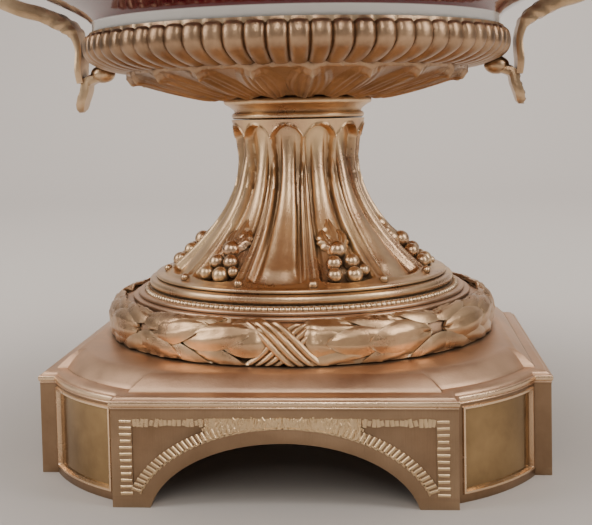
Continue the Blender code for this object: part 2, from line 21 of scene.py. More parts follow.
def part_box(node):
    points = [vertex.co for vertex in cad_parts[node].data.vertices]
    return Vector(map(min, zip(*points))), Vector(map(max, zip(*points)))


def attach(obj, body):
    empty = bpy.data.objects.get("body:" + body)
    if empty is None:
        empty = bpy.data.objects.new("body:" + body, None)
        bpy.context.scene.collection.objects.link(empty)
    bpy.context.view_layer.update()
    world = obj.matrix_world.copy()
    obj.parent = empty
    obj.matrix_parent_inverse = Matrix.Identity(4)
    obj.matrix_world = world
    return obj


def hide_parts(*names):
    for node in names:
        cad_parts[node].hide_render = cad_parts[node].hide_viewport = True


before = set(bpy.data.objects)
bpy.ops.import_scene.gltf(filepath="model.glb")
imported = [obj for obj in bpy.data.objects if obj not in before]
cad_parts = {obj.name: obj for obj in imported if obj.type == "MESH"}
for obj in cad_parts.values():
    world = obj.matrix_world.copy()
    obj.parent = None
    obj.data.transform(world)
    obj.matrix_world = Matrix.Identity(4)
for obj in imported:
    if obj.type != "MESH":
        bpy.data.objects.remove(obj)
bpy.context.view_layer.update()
print("frame with", len(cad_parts), "nodes")

# %% [markdown]
# ## Small helpers for modelling by hand
#
# Blender's operators act on whatever is selected, so each step starts with a clean
# selection. A cross-section is drawn the way one draws it by hand: a plane is merged to a
# single vertex, and that vertex is extruded from point to point.

# %% Selecting
def deselect():
    """Back to object mode, with nothing selected."""
    if bpy.context.object is not None and bpy.context.object.mode != "OBJECT":
        bpy.ops.object.mode_set(mode="OBJECT")
    bpy.ops.object.select_all(action="DESELECT")


def only(piece):
    """Selects one piece and makes it the active one."""
    deselect()
    piece.select_set(True)
    bpy.context.view_layer.objects.active = piece


# %% Drawing a line of vertices
SAME_PLACE = 1e-6


def trace(name, points, closed=False):
    """Draws a chain of edges through points and leaves the piece in edit mode."""
    deselect()
    bpy.ops.mesh.primitive_plane_add(size=0.001, enter_editmode=True)
    piece = bpy.context.object
    piece.name = name
    bpy.ops.mesh.select_mode(type="VERT")
    bpy.ops.mesh.select_all(action="SELECT")
    bpy.ops.mesh.merge(type="CENTER")
    bpy.ops.transform.translate(value=points[0])
    route = list(points) + ([points[0]] if closed else [])
    for before, after in zip(route, route[1:]):
        step = Vector(after) - Vector(before)
        bpy.ops.mesh.extrude_region_move(TRANSFORM_OT_translate={"value": step})
    bpy.ops.mesh.select_all(action="SELECT")
    if closed:
        bpy.ops.mesh.remove_doubles(threshold=SAME_PLACE)
        bpy.ops.mesh.select_all(action="SELECT")
    return piece


def face_out():
    """Turns all faces of the piece in edit mode outward, and leaves edit mode."""
    bpy.ops.mesh.select_all(action="SELECT")
    bpy.ops.mesh.normals_make_consistent(inside=False)
    deselect()


# %% [markdown]
# A turned piece is that line spun round the upright axis. Spin leaves a seam where the
# last step meets the first, and a pole where the line touches the axis, so the doubles are
# merged before the normals are turned outward.

# %% Turning a profile
def spun(name, profile, steps):
    """Spins a profile of radius and height pairs into a turned piece."""
    piece = trace(name, [(radius, 0.0, height) for radius, height in profile])
    bpy.ops.mesh.spin(steps=steps, angle=math.tau, center=(0, 0, 0), axis=(0, 0, 1))
    bpy.ops.mesh.select_all(action="SELECT")
    bpy.ops.mesh.remove_doubles(threshold=SAME_PLACE)
    face_out()
    return piece


# %% [markdown]
# A piece with a changing section is a face that is extruded again and again. After each
# extrusion the new ring of corners is set in its place. The plinth's mouldings and the
# handles are both made so.

# %% Extruding from ring to ring
def set_ring(piece, old, new):
    """Moves the selected corners from the old ring's points to the new ring's."""
    form = bmesh.from_edit_mesh(piece.data)
    start = np.array(old)
    for vertex in form.verts:
        if vertex.select:
            nearest = np.linalg.norm(start - np.array(vertex.co), axis=1).argmin()
            vertex.co = new[nearest]
    bmesh.update_edit_mesh(piece.data)


def lofted(name, rings):
    """A closed piece through rings that all have the same number of points."""
    piece = trace(name, rings[0], closed=True)
    bpy.ops.mesh.edge_face_add()
    for old, new in zip(rings, rings[1:]):
        bpy.ops.mesh.extrude_region_move()
        set_ring(piece, old, new)
    face_out()
    return piece


# %% [markdown]
# Chased relief is too fine to push by hand, vertex by vertex. So a dense mesh is made with
# the operators first, and then a rule moves its vertices, as a sculpting brush would.
# What repeats is modelled once; each copy gets a mesh of its own and is then joined.

# %% Moving vertices by a rule, copying, joining
def reshape(piece, rule):
    """Moves every vertex of a piece by a rule on an array of points."""
    mesh = piece.data
    points = np.empty(len(mesh.vertices) * 3)
    mesh.vertices.foreach_get("co", points)
    moved = np.asarray(rule(points.reshape(-1, 3)), float)
    mesh.vertices.foreach_set("co", moved.ravel())
    mesh.update()


def copy_of(piece, rule=None, matrix=None):
    """A copy with its own mesh, moved by a rule or a matrix."""
    twin = piece.copy()
    twin.data = piece.data.copy()
    bpy.context.collection.objects.link(twin)
    if matrix is not None:
        twin.data.transform(matrix)
    if rule is not None:
        reshape(twin, rule)
    return twin


def joined(name, parts):
    """Joins parts into one piece."""
    deselect()
    for part in parts:
        part.select_set(True)
    bpy.context.view_layer.objects.active = parts[0]
    bpy.ops.object.join()
    piece = bpy.context.object
    piece.name = name
    return piece


def spread(template, matrices):
    """One copy for each matrix; the piece they are made from is thrown away."""
    copies = [copy_of(template, matrix=matrix) for matrix in matrices]
    bpy.data.objects.remove(template, do_unlink=True)
    return copies


# %% [markdown]
# Some steps come up again and again: a modifier that is applied at once, a sphere, a flat
# grid that will be wrapped over something, and a turn about the upright axis.

# %% Modifiers, spheres, sheets and turns
def modified(piece, kind, **values):
    """Adds a modifier with the given values and applies it."""
    only(piece)
    step = piece.modifiers.new(kind.lower(), kind)
    for key, value in values.items():
        setattr(step, key, value)
    bpy.ops.object.modifier_apply(modifier=step.name)


def sphere(radius, segments, rings, place=(0, 0, 0)):
    deselect()
    bpy.ops.mesh.primitive_uv_sphere_add(
        segments=segments, ring_count=rings, radius=radius, location=place)
    return bpy.context.object


def sheet(columns, rows):
    """A flat grid from -1 to 1 along X and along Y."""
    deselect()
    bpy.ops.mesh.primitive_grid_add(x_subdivisions=columns, y_subdivisions=rows, size=2.0)
    return bpy.context.object


def turned(x, y, angle):
    """X and Y turned about the upright axis, for numbers or arrays."""
    cosine, sine = math.cos(angle), math.sin(angle)
    return x * cosine - y * sine, x * sine + y * cosine


# %% Smooth steps and smooth lines
def smooth_step(value, low, high):
    """From 0 at low to 1 at high, with soft ends; low may be the larger one."""
    share = np.clip((value - low) / (high - low), 0, 1)
    return share * share * (3 - 2 * share)


def smooth_line(points, steps):
    """A smooth line through points, each with any number of values."""
    line = []
    for k in range(len(points) - 1):
        before = points[max(k - 1, 0)]
        start, end = points[k], points[k + 1]
        after = points[min(k + 2, len(points) - 1)]
        for i in range(steps):
            t = i / steps
            values = []
            for a, b, c, d in zip(before, start, end, after):
                square = 2 * a - 5 * b + 4 * c - d
                cube = 3 * b - a - 3 * c + d
                values.append(b + 0.5 * ((c - a) * t + square * t * t + cube * t ** 3))
            line.append(values)
    line.append(list(points[-1]))
    return line


# %% [markdown]
# A finished piece has its place in its mesh, rides on the frame, and takes its material;
# the frame's nodes that it stands for are hidden.

# %% Settling a finished piece
def settle(piece, material, nodes=(), angle=35.0):
    only(piece)
    bpy.ops.object.transform_apply(location=True, rotation=True, scale=True)
    bpy.ops.object.shade_smooth_by_angle(angle=math.radians(angle))
    piece.data.materials.clear()
    piece.data.materials.append(material)
    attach(piece, "root")
    if nodes:
        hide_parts(*nodes)
    deselect()
    print(piece.name, len(piece.data.polygons), "faces")
    return piece


# %% [markdown]
# ## The finishes
#
# Mercury gilding leaves a soft, slightly pink gold. The parts that stand proud were
# burnished, the recesses stayed matt and have gone brown with dirt and old lacquer. One
# function makes every shade of it: broad cloudy colour from noise, a near-black brown where
# ambient occlusion finds a recess, which is partly that dirt and partly painted shade, a
# paler colour where the mesh has an outward edge, which is partly wear and partly a painted
# highlight, and a fine grain in roughness and bump.

# %% Node helpers
def link_nodes(material):
    tree = material.node_tree

    def add(kind, **values):
        node = tree.nodes.new(kind)
        for key, value in values.items():
            if key in node.inputs:
                node.inputs[key].default_value = value
            else:
                setattr(node, key, value)
        return node

    return add, tree.links.new


def ramp(add, stops):
    """A colour ramp with the given places and colours."""
    node = add("ShaderNodeValToRGB")
    elements = node.color_ramp.elements
    while len(elements) > 2:
        elements.remove(elements[-1])
    for index, (place, colour) in enumerate(stops):
        element = elements[index] if index < 2 else elements.new(place)
        element.position = place
        element.color = (*colour, 1.0) if len(colour) == 3 else colour
    return node


def ranged(add, link, value, source, target):
    """A value carried from one range to another."""
    node = add("ShaderNodeMapRange")
    for name, number in zip(("From Min", "From Max", "To Min", "To Max"), (*source, *target)):
        node.inputs[name].default_value = number
    link(value, node.inputs["Value"])
    return node.outputs["Result"]


def noise(add, link, place, **values):
    node = add("ShaderNodeTexNoise", **values)
    link(place, node.inputs["Vector"])
    return node.outputs["Fac"]


def shaded(add, link, value, stops):
    """The colour that a ramp gives for a value."""
    node = ramp(add, stops)
    link(value, node.inputs["Fac"])
    return node.outputs["Color"]


def bumped(add, link, shader, height, strength, distance):
    node = add("ShaderNodeBump", Strength=strength, Distance=distance)
    link(height, node.inputs["Height"])
    link(node.outputs["Normal"], shader.inputs["Normal"])


def new_material(name):
    """A material, its two node helpers and its shader."""
    material = bpy.data.materials.new(name)
    material.use_nodes = True
    return material, *link_nodes(material), material.node_tree.nodes["Principled BSDF"]


# %% Gilt bronze
# A near-black brown for recesses: partly the real casting's dirt, partly painted shade.
DIRT_AND_SHADE = (0.062, 0.034, 0.018)
WORN_AND_HIGHLIGHT = (0.92, 0.72, 0.47)
DIRT_AND_SHADE_REACH = 0.0035
CLOUD_SCALE = 42.0
PATINA_SCALE = 13.0
GRAIN_SCALE = 1400.0
GRAIN_HEIGHT = 0.0004


def mixed(add, link, factor, first, second):
    """A mix of a colour that comes from a node and a plain one."""
    node = add("ShaderNodeMix", data_type="RGBA")
    link(factor, node.inputs["Factor"])
    link(first, node.inputs[6])
    node.inputs[7].default_value = (*second, 1.0)
    return node.outputs[2]


def gilt_bronze(name, light, deep, roughness, dirt_and_shade=0.85, grain=0.22, wear_and_highlight=0.35, stretch=(1, 1, 1)):
    """Gilt bronze between a light and a deep shade; stretch draws the grain out into strokes."""
    material, add, link, shader = new_material(name)
    place = add("ShaderNodeTexCoord").outputs["Object"]
    clouds = noise(add, link, place, Scale=CLOUD_SCALE, Detail=5.0, Roughness=0.62)
    shades = shaded(add, link, clouds, [(0.36, deep), (0.64, light)])
    patina = noise(add, link, place, Scale=PATINA_SCALE, Detail=3.0, Roughness=0.55)
    stained = ranged(add, link, patina, (0.50, 0.72), (0.0, 0.38))
    aged = mixed(add, link, stained, shades, tuple(0.55 * value for value in deep))
    # Ambient occlusion lays the near-black brown into recesses and lowers the metallic there: partly dirt,
    # partly painted shade.
    hollow = add("ShaderNodeAmbientOcclusion", Distance=DIRT_AND_SHADE_REACH, samples=8).outputs["AO"]
    soiled_and_shaded = mixed(add, link, ranged(add, link, hollow, (0.22, 0.86), (dirt_and_shade, 0.0)), aged, DIRT_AND_SHADE)
    # Outward edges, found by pointiness, get a paler colour: partly wear of the gilding, partly a painted
    # highlight.
    edges = add("ShaderNodeNewGeometry").outputs["Pointiness"]
    worn_and_highlight_share = ranged(add, link, edges, (0.52, 0.62), (0.0, wear_and_highlight))
    link(mixed(add, link, worn_and_highlight_share, soiled_and_shaded, WORN_AND_HIGHLIGHT), shader.inputs["Base Color"])
    metallic_outside_hollows = ranged(add, link, hollow, (0.22, 0.70), (1 - dirt_and_shade * 0.6, 1.0))
    link(metallic_outside_hollows, shader.inputs["Metallic"])
    rough = ranged(add, link, clouds, (0.3, 0.7), (roughness * 0.8, roughness * 1.25))
    link(rough, shader.inputs["Roughness"])
    stretched = add("ShaderNodeMapping")
    stretched.inputs["Scale"].default_value = stretch
    link(place, stretched.inputs["Vector"])
    grains = noise(add, link, stretched.outputs["Vector"], Scale=GRAIN_SCALE, Detail=3.0, Roughness=0.6)
    bumped(add, link, shader, grains, grain, GRAIN_HEIGHT)
    print("finish", name)
    return material


# %% The shades, piece by piece
UPRIGHT_STROKES = (1, 1, 0.03)
moulding_gilt = gilt_bronze("moulding_gilt", (0.79, 0.515, 0.335), (0.62, 0.385, 0.245), 0.40)
# A darker copy for the upright panels: painted shade, over a real brushed grain.
shaded_panel_gilt = gilt_bronze("shaded_panel_gilt", (0.37, 0.24, 0.145), (0.27, 0.17, 0.10), 0.36, dirt_and_shade=0.5, grain=0.30,
                         stretch=UPRIGHT_STROKES)
# A darker copy for the polished corner fields: painted shade and painted dark reflection.
shaded_field_gilt = gilt_bronze("shaded_field_gilt", (0.44, 0.295, 0.145), (0.27, 0.175, 0.085), 0.15, grain=0.10,
                         stretch=UPRIGHT_STROKES)
milled_gilt = gilt_bronze("milled_gilt", (0.74, 0.53, 0.30), (0.52, 0.34, 0.185), 0.30, dirt_and_shade=0.55)
wreath_gilt = gilt_bronze("wreath_gilt", (0.82, 0.545, 0.31), (0.56, 0.34, 0.195), 0.30, dirt_and_shade=0.95)
foot_gilt = gilt_bronze("foot_gilt", (0.88, 0.61, 0.345), (0.56, 0.345, 0.215), 0.29, dirt_and_shade=0.95)
# A darker copy for the cup: painted shade on the gadroons and underside, which the pale floor lights.
shaded_cup_gilt = gilt_bronze("shaded_cup_gilt", (0.56, 0.37, 0.23), (0.36, 0.225, 0.135), 0.33, dirt_and_shade=0.96)
handle_gilt = gilt_bronze("handle_gilt", (0.76, 0.54, 0.33), (0.46, 0.30, 0.175), 0.33, dirt_and_shade=0.95)
# A paler, smoother copy: burnished, with a painted highlight in its colour, for the plinth's fillet, the
# corner fields' frames and the beads.
highlight_gilt = gilt_bronze("highlight_gilt", (0.95, 0.69, 0.45), (0.80, 0.55, 0.35), 0.26, dirt_and_shade=0.7)

# %% [markdown]
# ## The plinth
#
# The plinth is a hollow casting. Its plan has four flat panels, and between them bowed
# corners that stand back. We draw that plan as one closed line, fill it, and extrude it
# from moulding to moulding, so the mitres at the corners come by themselves. An arched
# tunnel each way is then taken out with a Boolean modifier, and so are the panels' sunk
# fields. The corners' fields are pushed in later, by a rule.

# %% Plinth sizes
_, plinth_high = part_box("plinth")
FILLET_BULGE = 0.0006
PLINTH_HALF = plinth_high[0] - FILLET_BULGE
PLINTH_TOP = plinth_high[2]
PANEL_HALF = 0.0560
CORNER_SETBACK = 0.0058
CORNER_BOW = 0.0029
FACE_HEIGHT = 0.0330
FILLET_HEIGHT = 0.0022
BEAD_REACH = 0.0048
BEAD_RISE = 0.0015
BEAD_STEPS = 6
SLOPE_REACH = 0.0086
SLOPE_STEPS = 8
QUIRK = 0.0003
WALL = 0.0055
TOP_PLATE = 0.0100
print("plinth half width", round(PLINTH_HALF, 4), "top", round(PLINTH_TOP, 4))


# %% Plinth plan
FIELD_FOOT = 0.0040
FIELD_TOP = 0.0304
FIELD_MARGIN = 0.0030
FIELD_SINK = 0.0009
FRAME_LINE = (0.0013, 0.0010, 0.0003, 0.0)
FRAME_RISE = 0.0006
BOW_STEPS = 10


def bow(inset=0.0):
    """Centre, reach and half angle of a bowed corner."""
    near = PANEL_HALF
    far = PLINTH_HALF - CORNER_SETBACK
    half_chord = (far - near) / math.sqrt(2)
    bow_radius = (half_chord ** 2 + CORNER_BOW ** 2) / (2 * CORNER_BOW)
    centre = (near + far) / 2 - (bow_radius - CORNER_BOW) / math.sqrt(2)
    reach = bow_radius - inset
    return centre, reach, math.pi / 4 - math.asin((near - inset - centre) / reach)


def bow_turns(half_angle, reach):
    """Turns of the bow's points from its middle, close together where the field's frame lies."""
    ends = [half_angle] + [half_angle - (FIELD_MARGIN - line) / reach for line in FRAME_LINE]
    between = [ends[-1] * (1 - 2 * i / BOW_STEPS) for i in range(1, BOW_STEPS)]
    return [-turn for turn in ends] + [-turn for turn in between] + ends[::-1]


def plinth_plan(inset):
    """The plan drawn in by inset: panel, bowed corner, and so round."""
    centre, reach, half_angle = bow(inset)
    near, face = PANEL_HALF - inset, PLINTH_HALF - inset
    quarter = [(-near, -face), (near, -face)]
    for turn in bow_turns(half_angle, reach):
        angle = turn - math.pi / 4
        quarter.append((centre + reach * math.cos(angle), -centre + reach * math.sin(angle)))
    return [turned(x, y, side * math.pi / 2) for side in range(4) for x, y in quarter]


def ring_at(inset, height):
    return [(x, y, height) for x, y in plinth_plan(inset)]


# %% Plinth body
def plinth_body():
    levels = [(0.0, 0.0)]
    levels += [(0.0, FIELD_FOOT - line) for line in FRAME_LINE]
    levels += [(0.0, FIELD_TOP + line) for line in FRAME_LINE[::-1]]
    levels += [(0.0, FACE_HEIGHT - 0.0008), (-0.0002, FACE_HEIGHT - 0.0003)]
    for i in range(5):
        angle = math.pi * i / 4
        bulge = FILLET_BULGE * math.sin(angle)
        levels.append((-bulge, FACE_HEIGHT + FILLET_HEIGHT * (1 - math.cos(angle)) / 2))
    step_z = FACE_HEIGHT + FILLET_HEIGHT
    levels.append((2 * QUIRK, step_z - QUIRK / 2))
    for i in range(1, BEAD_STEPS + 1):
        angle = math.pi / 2 * i / BEAD_STEPS
        inset = 2 * QUIRK + (BEAD_REACH - 2 * QUIRK) * (1 - math.cos(angle))
        levels.append((inset, step_z + BEAD_RISE * math.sin(angle)))
    slope_foot = step_z + BEAD_RISE
    levels += [(BEAD_REACH + QUIRK / 3, slope_foot - QUIRK), (BEAD_REACH + QUIRK, slope_foot + QUIRK)]
    for i in range(1, SLOPE_STEPS + 1):
        share = i / SLOPE_STEPS
        inset = BEAD_REACH + QUIRK + (SLOPE_REACH - QUIRK) * share
        height = slope_foot + QUIRK + (PLINTH_TOP - slope_foot - QUIRK) * math.sin(math.pi / 2 * share)
        levels.append((inset, height))
    rings = [ring_at(WALL, PLINTH_TOP - TOP_PLATE), ring_at(WALL, 0.0)]
    rings += [ring_at(inset, height) for inset, height in levels]
    return lofted("plinth_casting", rings)


plinth_casting = plinth_body()
print("plinth body", len(plinth_casting.data.vertices), "vertices")

# %% [markdown]
# The arch is part of an ellipse. The same curve, drawn a little further out, guides the
# milled band and the sunk spandrels, so one function gives all three.

# %% Arch curve
ARCH_HALF_SPAN = 0.0435
ARCH_RISE = 0.0212
ARCH_DROP = 0.0045
ARCH_STEPS = 40
ARCH_TOOL_REACH = 0.18
BAND_OUTER = 0.0082
BAND_INNER = 0.0049


def arch_point(angle, out=0.0):
    """A point of the arch's ellipse, or of a line outside it."""
    height = ARCH_RISE + ARCH_DROP
    span = ARCH_HALF_SPAN / math.sqrt(1 - (ARCH_DROP / height) ** 2)
    return (span + out) * math.cos(angle), (height + out) * math.sin(angle) - ARCH_DROP


# %% Cutting tools for the plinth
def prism(name, outline, near, far, turn):
    """An outline in X and Z, drawn out along Y and turned about Z."""
    return lofted(name, [[(*turned(x, y, turn), z) for x, z in outline] for y in (near, far)])


def cut(body, tool):
    """Takes a tool out of a body with an applied Boolean, and throws the tool away."""
    modified(body, "BOOLEAN", operation="DIFFERENCE", solver="EXACT", object=tool)
    bpy.data.objects.remove(tool, do_unlink=True)


def arch_outline():
    outline = [(ARCH_HALF_SPAN, -ARCH_RISE), (ARCH_HALF_SPAN, 0.0)]
    start = math.asin(ARCH_DROP / (ARCH_RISE + ARCH_DROP))
    for i in range(1, ARCH_STEPS):
        outline.append(arch_point(start + (math.pi - 2 * start) * i / ARCH_STEPS))
    return outline + [(-ARCH_HALF_SPAN, 0.0), (-ARCH_HALF_SPAN, -ARCH_RISE)]


for side in range(2):
    turn = side * math.pi / 2
    cut(plinth_casting, prism("arch_tool", arch_outline(), -ARCH_TOOL_REACH, ARCH_TOOL_REACH, turn))
print("arches cut:", len(plinth_casting.data.polygons), "faces")

# %% Sunk fields in the panels
SPANDREL_EDGE = 0.0490
SPANDREL_TOP = 0.0268
SPANDREL_SINK = 0.0006
SPANDREL_STEPS = 12


def spandrel_outline(hand):
    height = ARCH_RISE + ARCH_DROP + BAND_OUTER
    low = math.acos(SPANDREL_EDGE / arch_point(0.0, BAND_OUTER)[0])
    high = math.asin(min(1.0, (SPANDREL_TOP + ARCH_DROP) / height))
    outline = [(hand * SPANDREL_EDGE, SPANDREL_TOP)]
    for i in range(SPANDREL_STEPS + 1):
        x, z = arch_point(low + (high - low) * i / SPANDREL_STEPS, BAND_OUTER)
        outline.append((hand * x, z))
    return outline


for side in range(4):
    for hand in (-1, 1):
        tool = prism("spandrel_tool", spandrel_outline(hand), -PLINTH_HALF - SPANDREL_SINK,
                     -PLINTH_HALF + SPANDREL_SINK, side * math.pi / 2)
        cut(plinth_casting, tool)
print("panels cut:", len(plinth_casting.data.polygons), "faces")

# %% [markdown]
# The bowed corners carry a polished field inside a thin raised frame. The plan already has
# points where the frame lies, so no cut is needed: a rule pushes the field in and the frame
# out, square to the bow.

# %% Corner fields
HAIR = 0.00002
EDGE_BEVEL = 0.0003


def nearest_bow(points):
    """Way out from the nearest corner's hub, what lies on the bow's own surface, what lies on it
    or in its field, and depth inside the field's frame."""
    centre, reach, half_angle = bow()
    x_side, y_side = np.sign(points[:, 0]), np.sign(points[:, 1])
    out = points[:, :2] - centre * np.stack([x_side, y_side], axis=1)
    distance = np.hypot(out[:, 0], out[:, 1])
    turn = np.abs(np.arctan2(out[:, 1] * y_side, out[:, 0] * x_side) - math.pi / 4)
    within = (half_angle - turn) * reach - FIELD_MARGIN
    deep = np.minimum(within, np.minimum(points[:, 2] - FIELD_FOOT, FIELD_TOP - points[:, 2]))
    on_bow = (np.abs(distance - reach) < FIELD_SINK * 1.5) & (turn < half_angle + HAIR)
    return out / distance[:, None], on_bow & (distance > reach - HAIR), on_bow, deep


def frame_and_field(points):
    moved = points.copy()
    way, untouched, _, deep = nearest_bow(points)
    field = untouched & (deep > -HAIR)
    ridge = untouched & (deep < -FRAME_LINE[2] + HAIR) & (deep > -FRAME_LINE[1] - HAIR)
    push = np.where(field, -FIELD_SINK, np.where(ridge, FRAME_RISE, 0.0))
    moved[:, :2] += way * push[:, None]
    return moved


def plinth_finishes(piece):
    """Mouldings, then brushed panels and polished corner fields in darker copies that paint shade, and a
    paler copy that paints a highlight on the fillet and the fields' frames.
    """
    for finish in (shaded_panel_gilt, shaded_field_gilt, highlight_gilt):
        piece.data.materials.append(finish)
    centres = np.array([face.center for face in piece.data.polygons])
    _, _, on_bow, deep = nearest_bow(centres)
    for face, bowed, depth in zip(piece.data.polygons, on_bow, deep):
        if FACE_HEIGHT - 0.0002 < face.center.z < FACE_HEIGHT + FILLET_HEIGHT - QUIRK:
            face.material_index = 3
        elif face.center.z < FACE_HEIGHT - 0.0006:
            face.material_index = 1
            if bowed and depth > 0:
                face.material_index = 2
            elif bowed and depth > -FRAME_LINE[0]:
                face.material_index = 3


modified(plinth_casting, "BEVEL", width=EDGE_BEVEL, segments=2, limit_method="ANGLE",
         angle_limit=math.radians(40))
reshape(plinth_casting, frame_and_field)
settle(plinth_casting, moulding_gilt, ["plinth"])
plinth_finishes(plinth_casting)

# %% [markdown]
# The bands round each panel were milled with a wheel that left a row of short bars. A bar
# is a small box with its edges bevelled. We make one, and set copies of it along the arch,
# up the sides and along the top. Where the top band meets the arch, the wheel went over the
# same place again and again, which left a rough patch: there the bars are short and lie
# anyhow, from a seeded draw. A thin line edges the arch.

# %% Milled bars
BAR_PITCH = 0.00215
ARCH_BAR_PITCH = 0.0017
BAR_WIDTH = 0.0011
BAR_PROUD = 0.00035
TOP_BAND = (0.0266, 0.0294)
SIDE_BAND = (0.0492, 0.0531)
BAND_FOOT = 0.0039
MERGE_X = 0.0250
ROUGH_BARS = 170
BED_BARS = 10
EDGE_WIDTH = 0.0007
ARCH_WALK = 1200


def one_bar():
    """A bar of unit length that lies along X on the panel's face, made at the origin."""
    deselect()
    bpy.ops.mesh.primitive_cube_add(size=1.0, enter_editmode=True)
    bar = bpy.context.object
    bpy.ops.transform.resize(value=(1.0, 2 * BAR_PROUD, BAR_WIDTH))
    bpy.ops.mesh.bevel(offset=BAR_PROUD * 0.7, segments=1, affect="EDGES")
    deselect()
    return bar


def arch_bars():
    """Middle, tilt, length, and shares of width and height of the bars and edging along the arch."""
    places = []
    start = math.asin((BAND_FOOT + ARCH_DROP) / (ARCH_RISE + ARCH_DROP + BAND_INNER))
    middle = (BAND_INNER + BAND_OUTER) / 2
    walked = {"bar": 0.0, "edge": 0.0}
    before = arch_point(start, middle)
    for number in range(1, ARCH_WALK):
        angle = start + (math.pi / 2 - start) * number / ARCH_WALK
        inner, outer = arch_point(angle, BAND_INNER), arch_point(angle, BAND_OUTER)
        x, z = arch_point(angle, middle)
        step = math.hypot(x - before[0], z - before[1])
        before = (x, z)
        tilt = math.atan2(outer[1] - inner[1], outer[0] - inner[0])
        for kind, pitch in (("bar", ARCH_BAR_PITCH), ("edge", BAR_PITCH)):
            walked[kind] += step
            if walked[kind] < pitch:
                continue
            walked[kind] -= pitch
            if kind == "edge":
                places.append((*inner, tilt + math.pi / 2, pitch * 1.1, EDGE_WIDTH / BAR_WIDTH, 1.0))
            elif MERGE_X * 0.7 < x < SIDE_BAND[0]:
                places.append((x, z, tilt, BAND_OUTER - BAND_INNER, 1.0, 1.0))
    return places


def band_foot(x):
    """Height of the arch band's lower line at a distance from the panel's middle."""
    return arch_point(math.acos(min(1.0, x / arch_point(0.0, BAND_INNER)[0])), BAND_INNER)[1]


def bar_places():
    """Every bar of one half panel, in X and Z, and the low bed under its rough patch."""
    chance = random.Random(5)
    places = arch_bars()
    height = TOP_BAND[1] - BAR_PITCH / 2
    while height > BAND_FOOT:
        length = (SIDE_BAND[1] - SIDE_BAND[0]) * chance.uniform(0.88, 1.04)
        places.append((sum(SIDE_BAND) / 2, height, chance.uniform(-0.03, 0.03), length, 1.0, 1.0))
        height -= BAR_PITCH
    x = SIDE_BAND[0] - BAR_PITCH / 2
    while x > MERGE_X:
        length = (TOP_BAND[1] - TOP_BAND[0]) * chance.uniform(0.6, 1.0)
        places.append((x, sum(TOP_BAND) / 2, math.pi / 2 + chance.uniform(-0.3, 0.3), length, 1.2, 0.8))
        x -= BAR_PITCH * chance.uniform(0.55, 0.9)
    bed_width = 1.1 * MERGE_X / BED_BARS / BAR_WIDTH
    for number in range(BED_BARS):
        x = MERGE_X * (number + 0.5) / BED_BARS
        low, high = band_foot(x), TOP_BAND[1]
        places.append((x, (low + high) / 2, math.pi / 2, high - low, bed_width, 0.3))
    for number in range(ROUGH_BARS):
        x = chance.uniform(0.0, MERGE_X * 1.05)
        z = chance.uniform(band_foot(x) + 0.0007, TOP_BAND[1])
        length = chance.uniform(0.0006, 0.0016)
        places.append((x, z, chance.uniform(0.9, 2.2), length, 0.7, chance.uniform(0.7, 1.0)))
    return places


def milled_bands():
    places = []
    for side in range(4):
        turn = Matrix.Rotation(side * math.pi / 2, 4, "Z")
        for x, z, tilt, length, wide, proud in bar_places():
            for hand in (-1, 1):
                lay = Matrix.Translation((hand * x, -PLINTH_HALF, z))
                lean = Matrix.Rotation(-hand * tilt, 4, "Y")
                stretch = Matrix.Diagonal((length, proud, wide, 1))
                places.append(turn @ lay @ lean @ stretch)
    return joined("plinth_milling", spread(one_bar(), places))


settle(milled_bands(), milled_gilt)

# %% [markdown]
# ## The wreath
#
# A laurel garland lies round the plinth's top, tied with crossed ribbons, under two thin
# fillets and a line of beads. The garland's core is a turned ring. The leaves are too many
# to model in place, so one leaf is shaped flat and then wrapped round the ring: its length
# runs round the ring, its width runs over the ring's section.

# %% Wreath sizes
wreath_low, wreath_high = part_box("wreath_ring")
WREATH_RADIUS = 0.0697
CORE_HALF_WIDTH = 0.0043
CORE_HALF_HEIGHT = 0.0066
SQUARENESS = 0.4
WREATH_SEAT = wreath_low[2]
WREATH_MIDDLE = WREATH_SEAT + CORE_HALF_HEIGHT
BORE = 0.0450
CORE_TOP = WREATH_MIDDLE + CORE_HALF_HEIGHT
THIN_FILLET = 0.0016
FILLET_RADIUS = 0.0660
BEAD_CIRCLE = 0.0608
BEAD_RADIUS = 0.00125
BEADS = 188
RIBBONS = 4
WREATH_STEPS = 192
WREATH_TOP = wreath_high[2]
print("wreath from", round(WREATH_SEAT, 4), "to", round(WREATH_TOP, 4))


# %% Over the wreath's section
def over_wreath(around, turn, lift):
    """A point over the roll, which is square below and round above: angle, turn over it, lift."""
    cosine = np.maximum(np.cos(turn), 0.0)
    reach = np.where(turn < 0, cosine ** SQUARENESS, cosine)
    radius = WREATH_RADIUS + (CORE_HALF_WIDTH + lift) * reach
    height = WREATH_MIDDLE + (CORE_HALF_HEIGHT + lift) * np.sin(turn)
    height = np.maximum(height, WREATH_SEAT + 0.0002)
    return np.stack([radius * np.cos(around), radius * np.sin(around), height], axis=1)


# %% Wreath core, fillets and beads
def half_round(radius, low, high, bulge, steps=5):
    """Points up a rounded edge."""
    points = []
    for i in range(steps + 1):
        angle = math.pi * i / steps
        points.append((radius + bulge * math.sin(angle), low + (high - low) * (1 - math.cos(angle)) / 2))
    return points


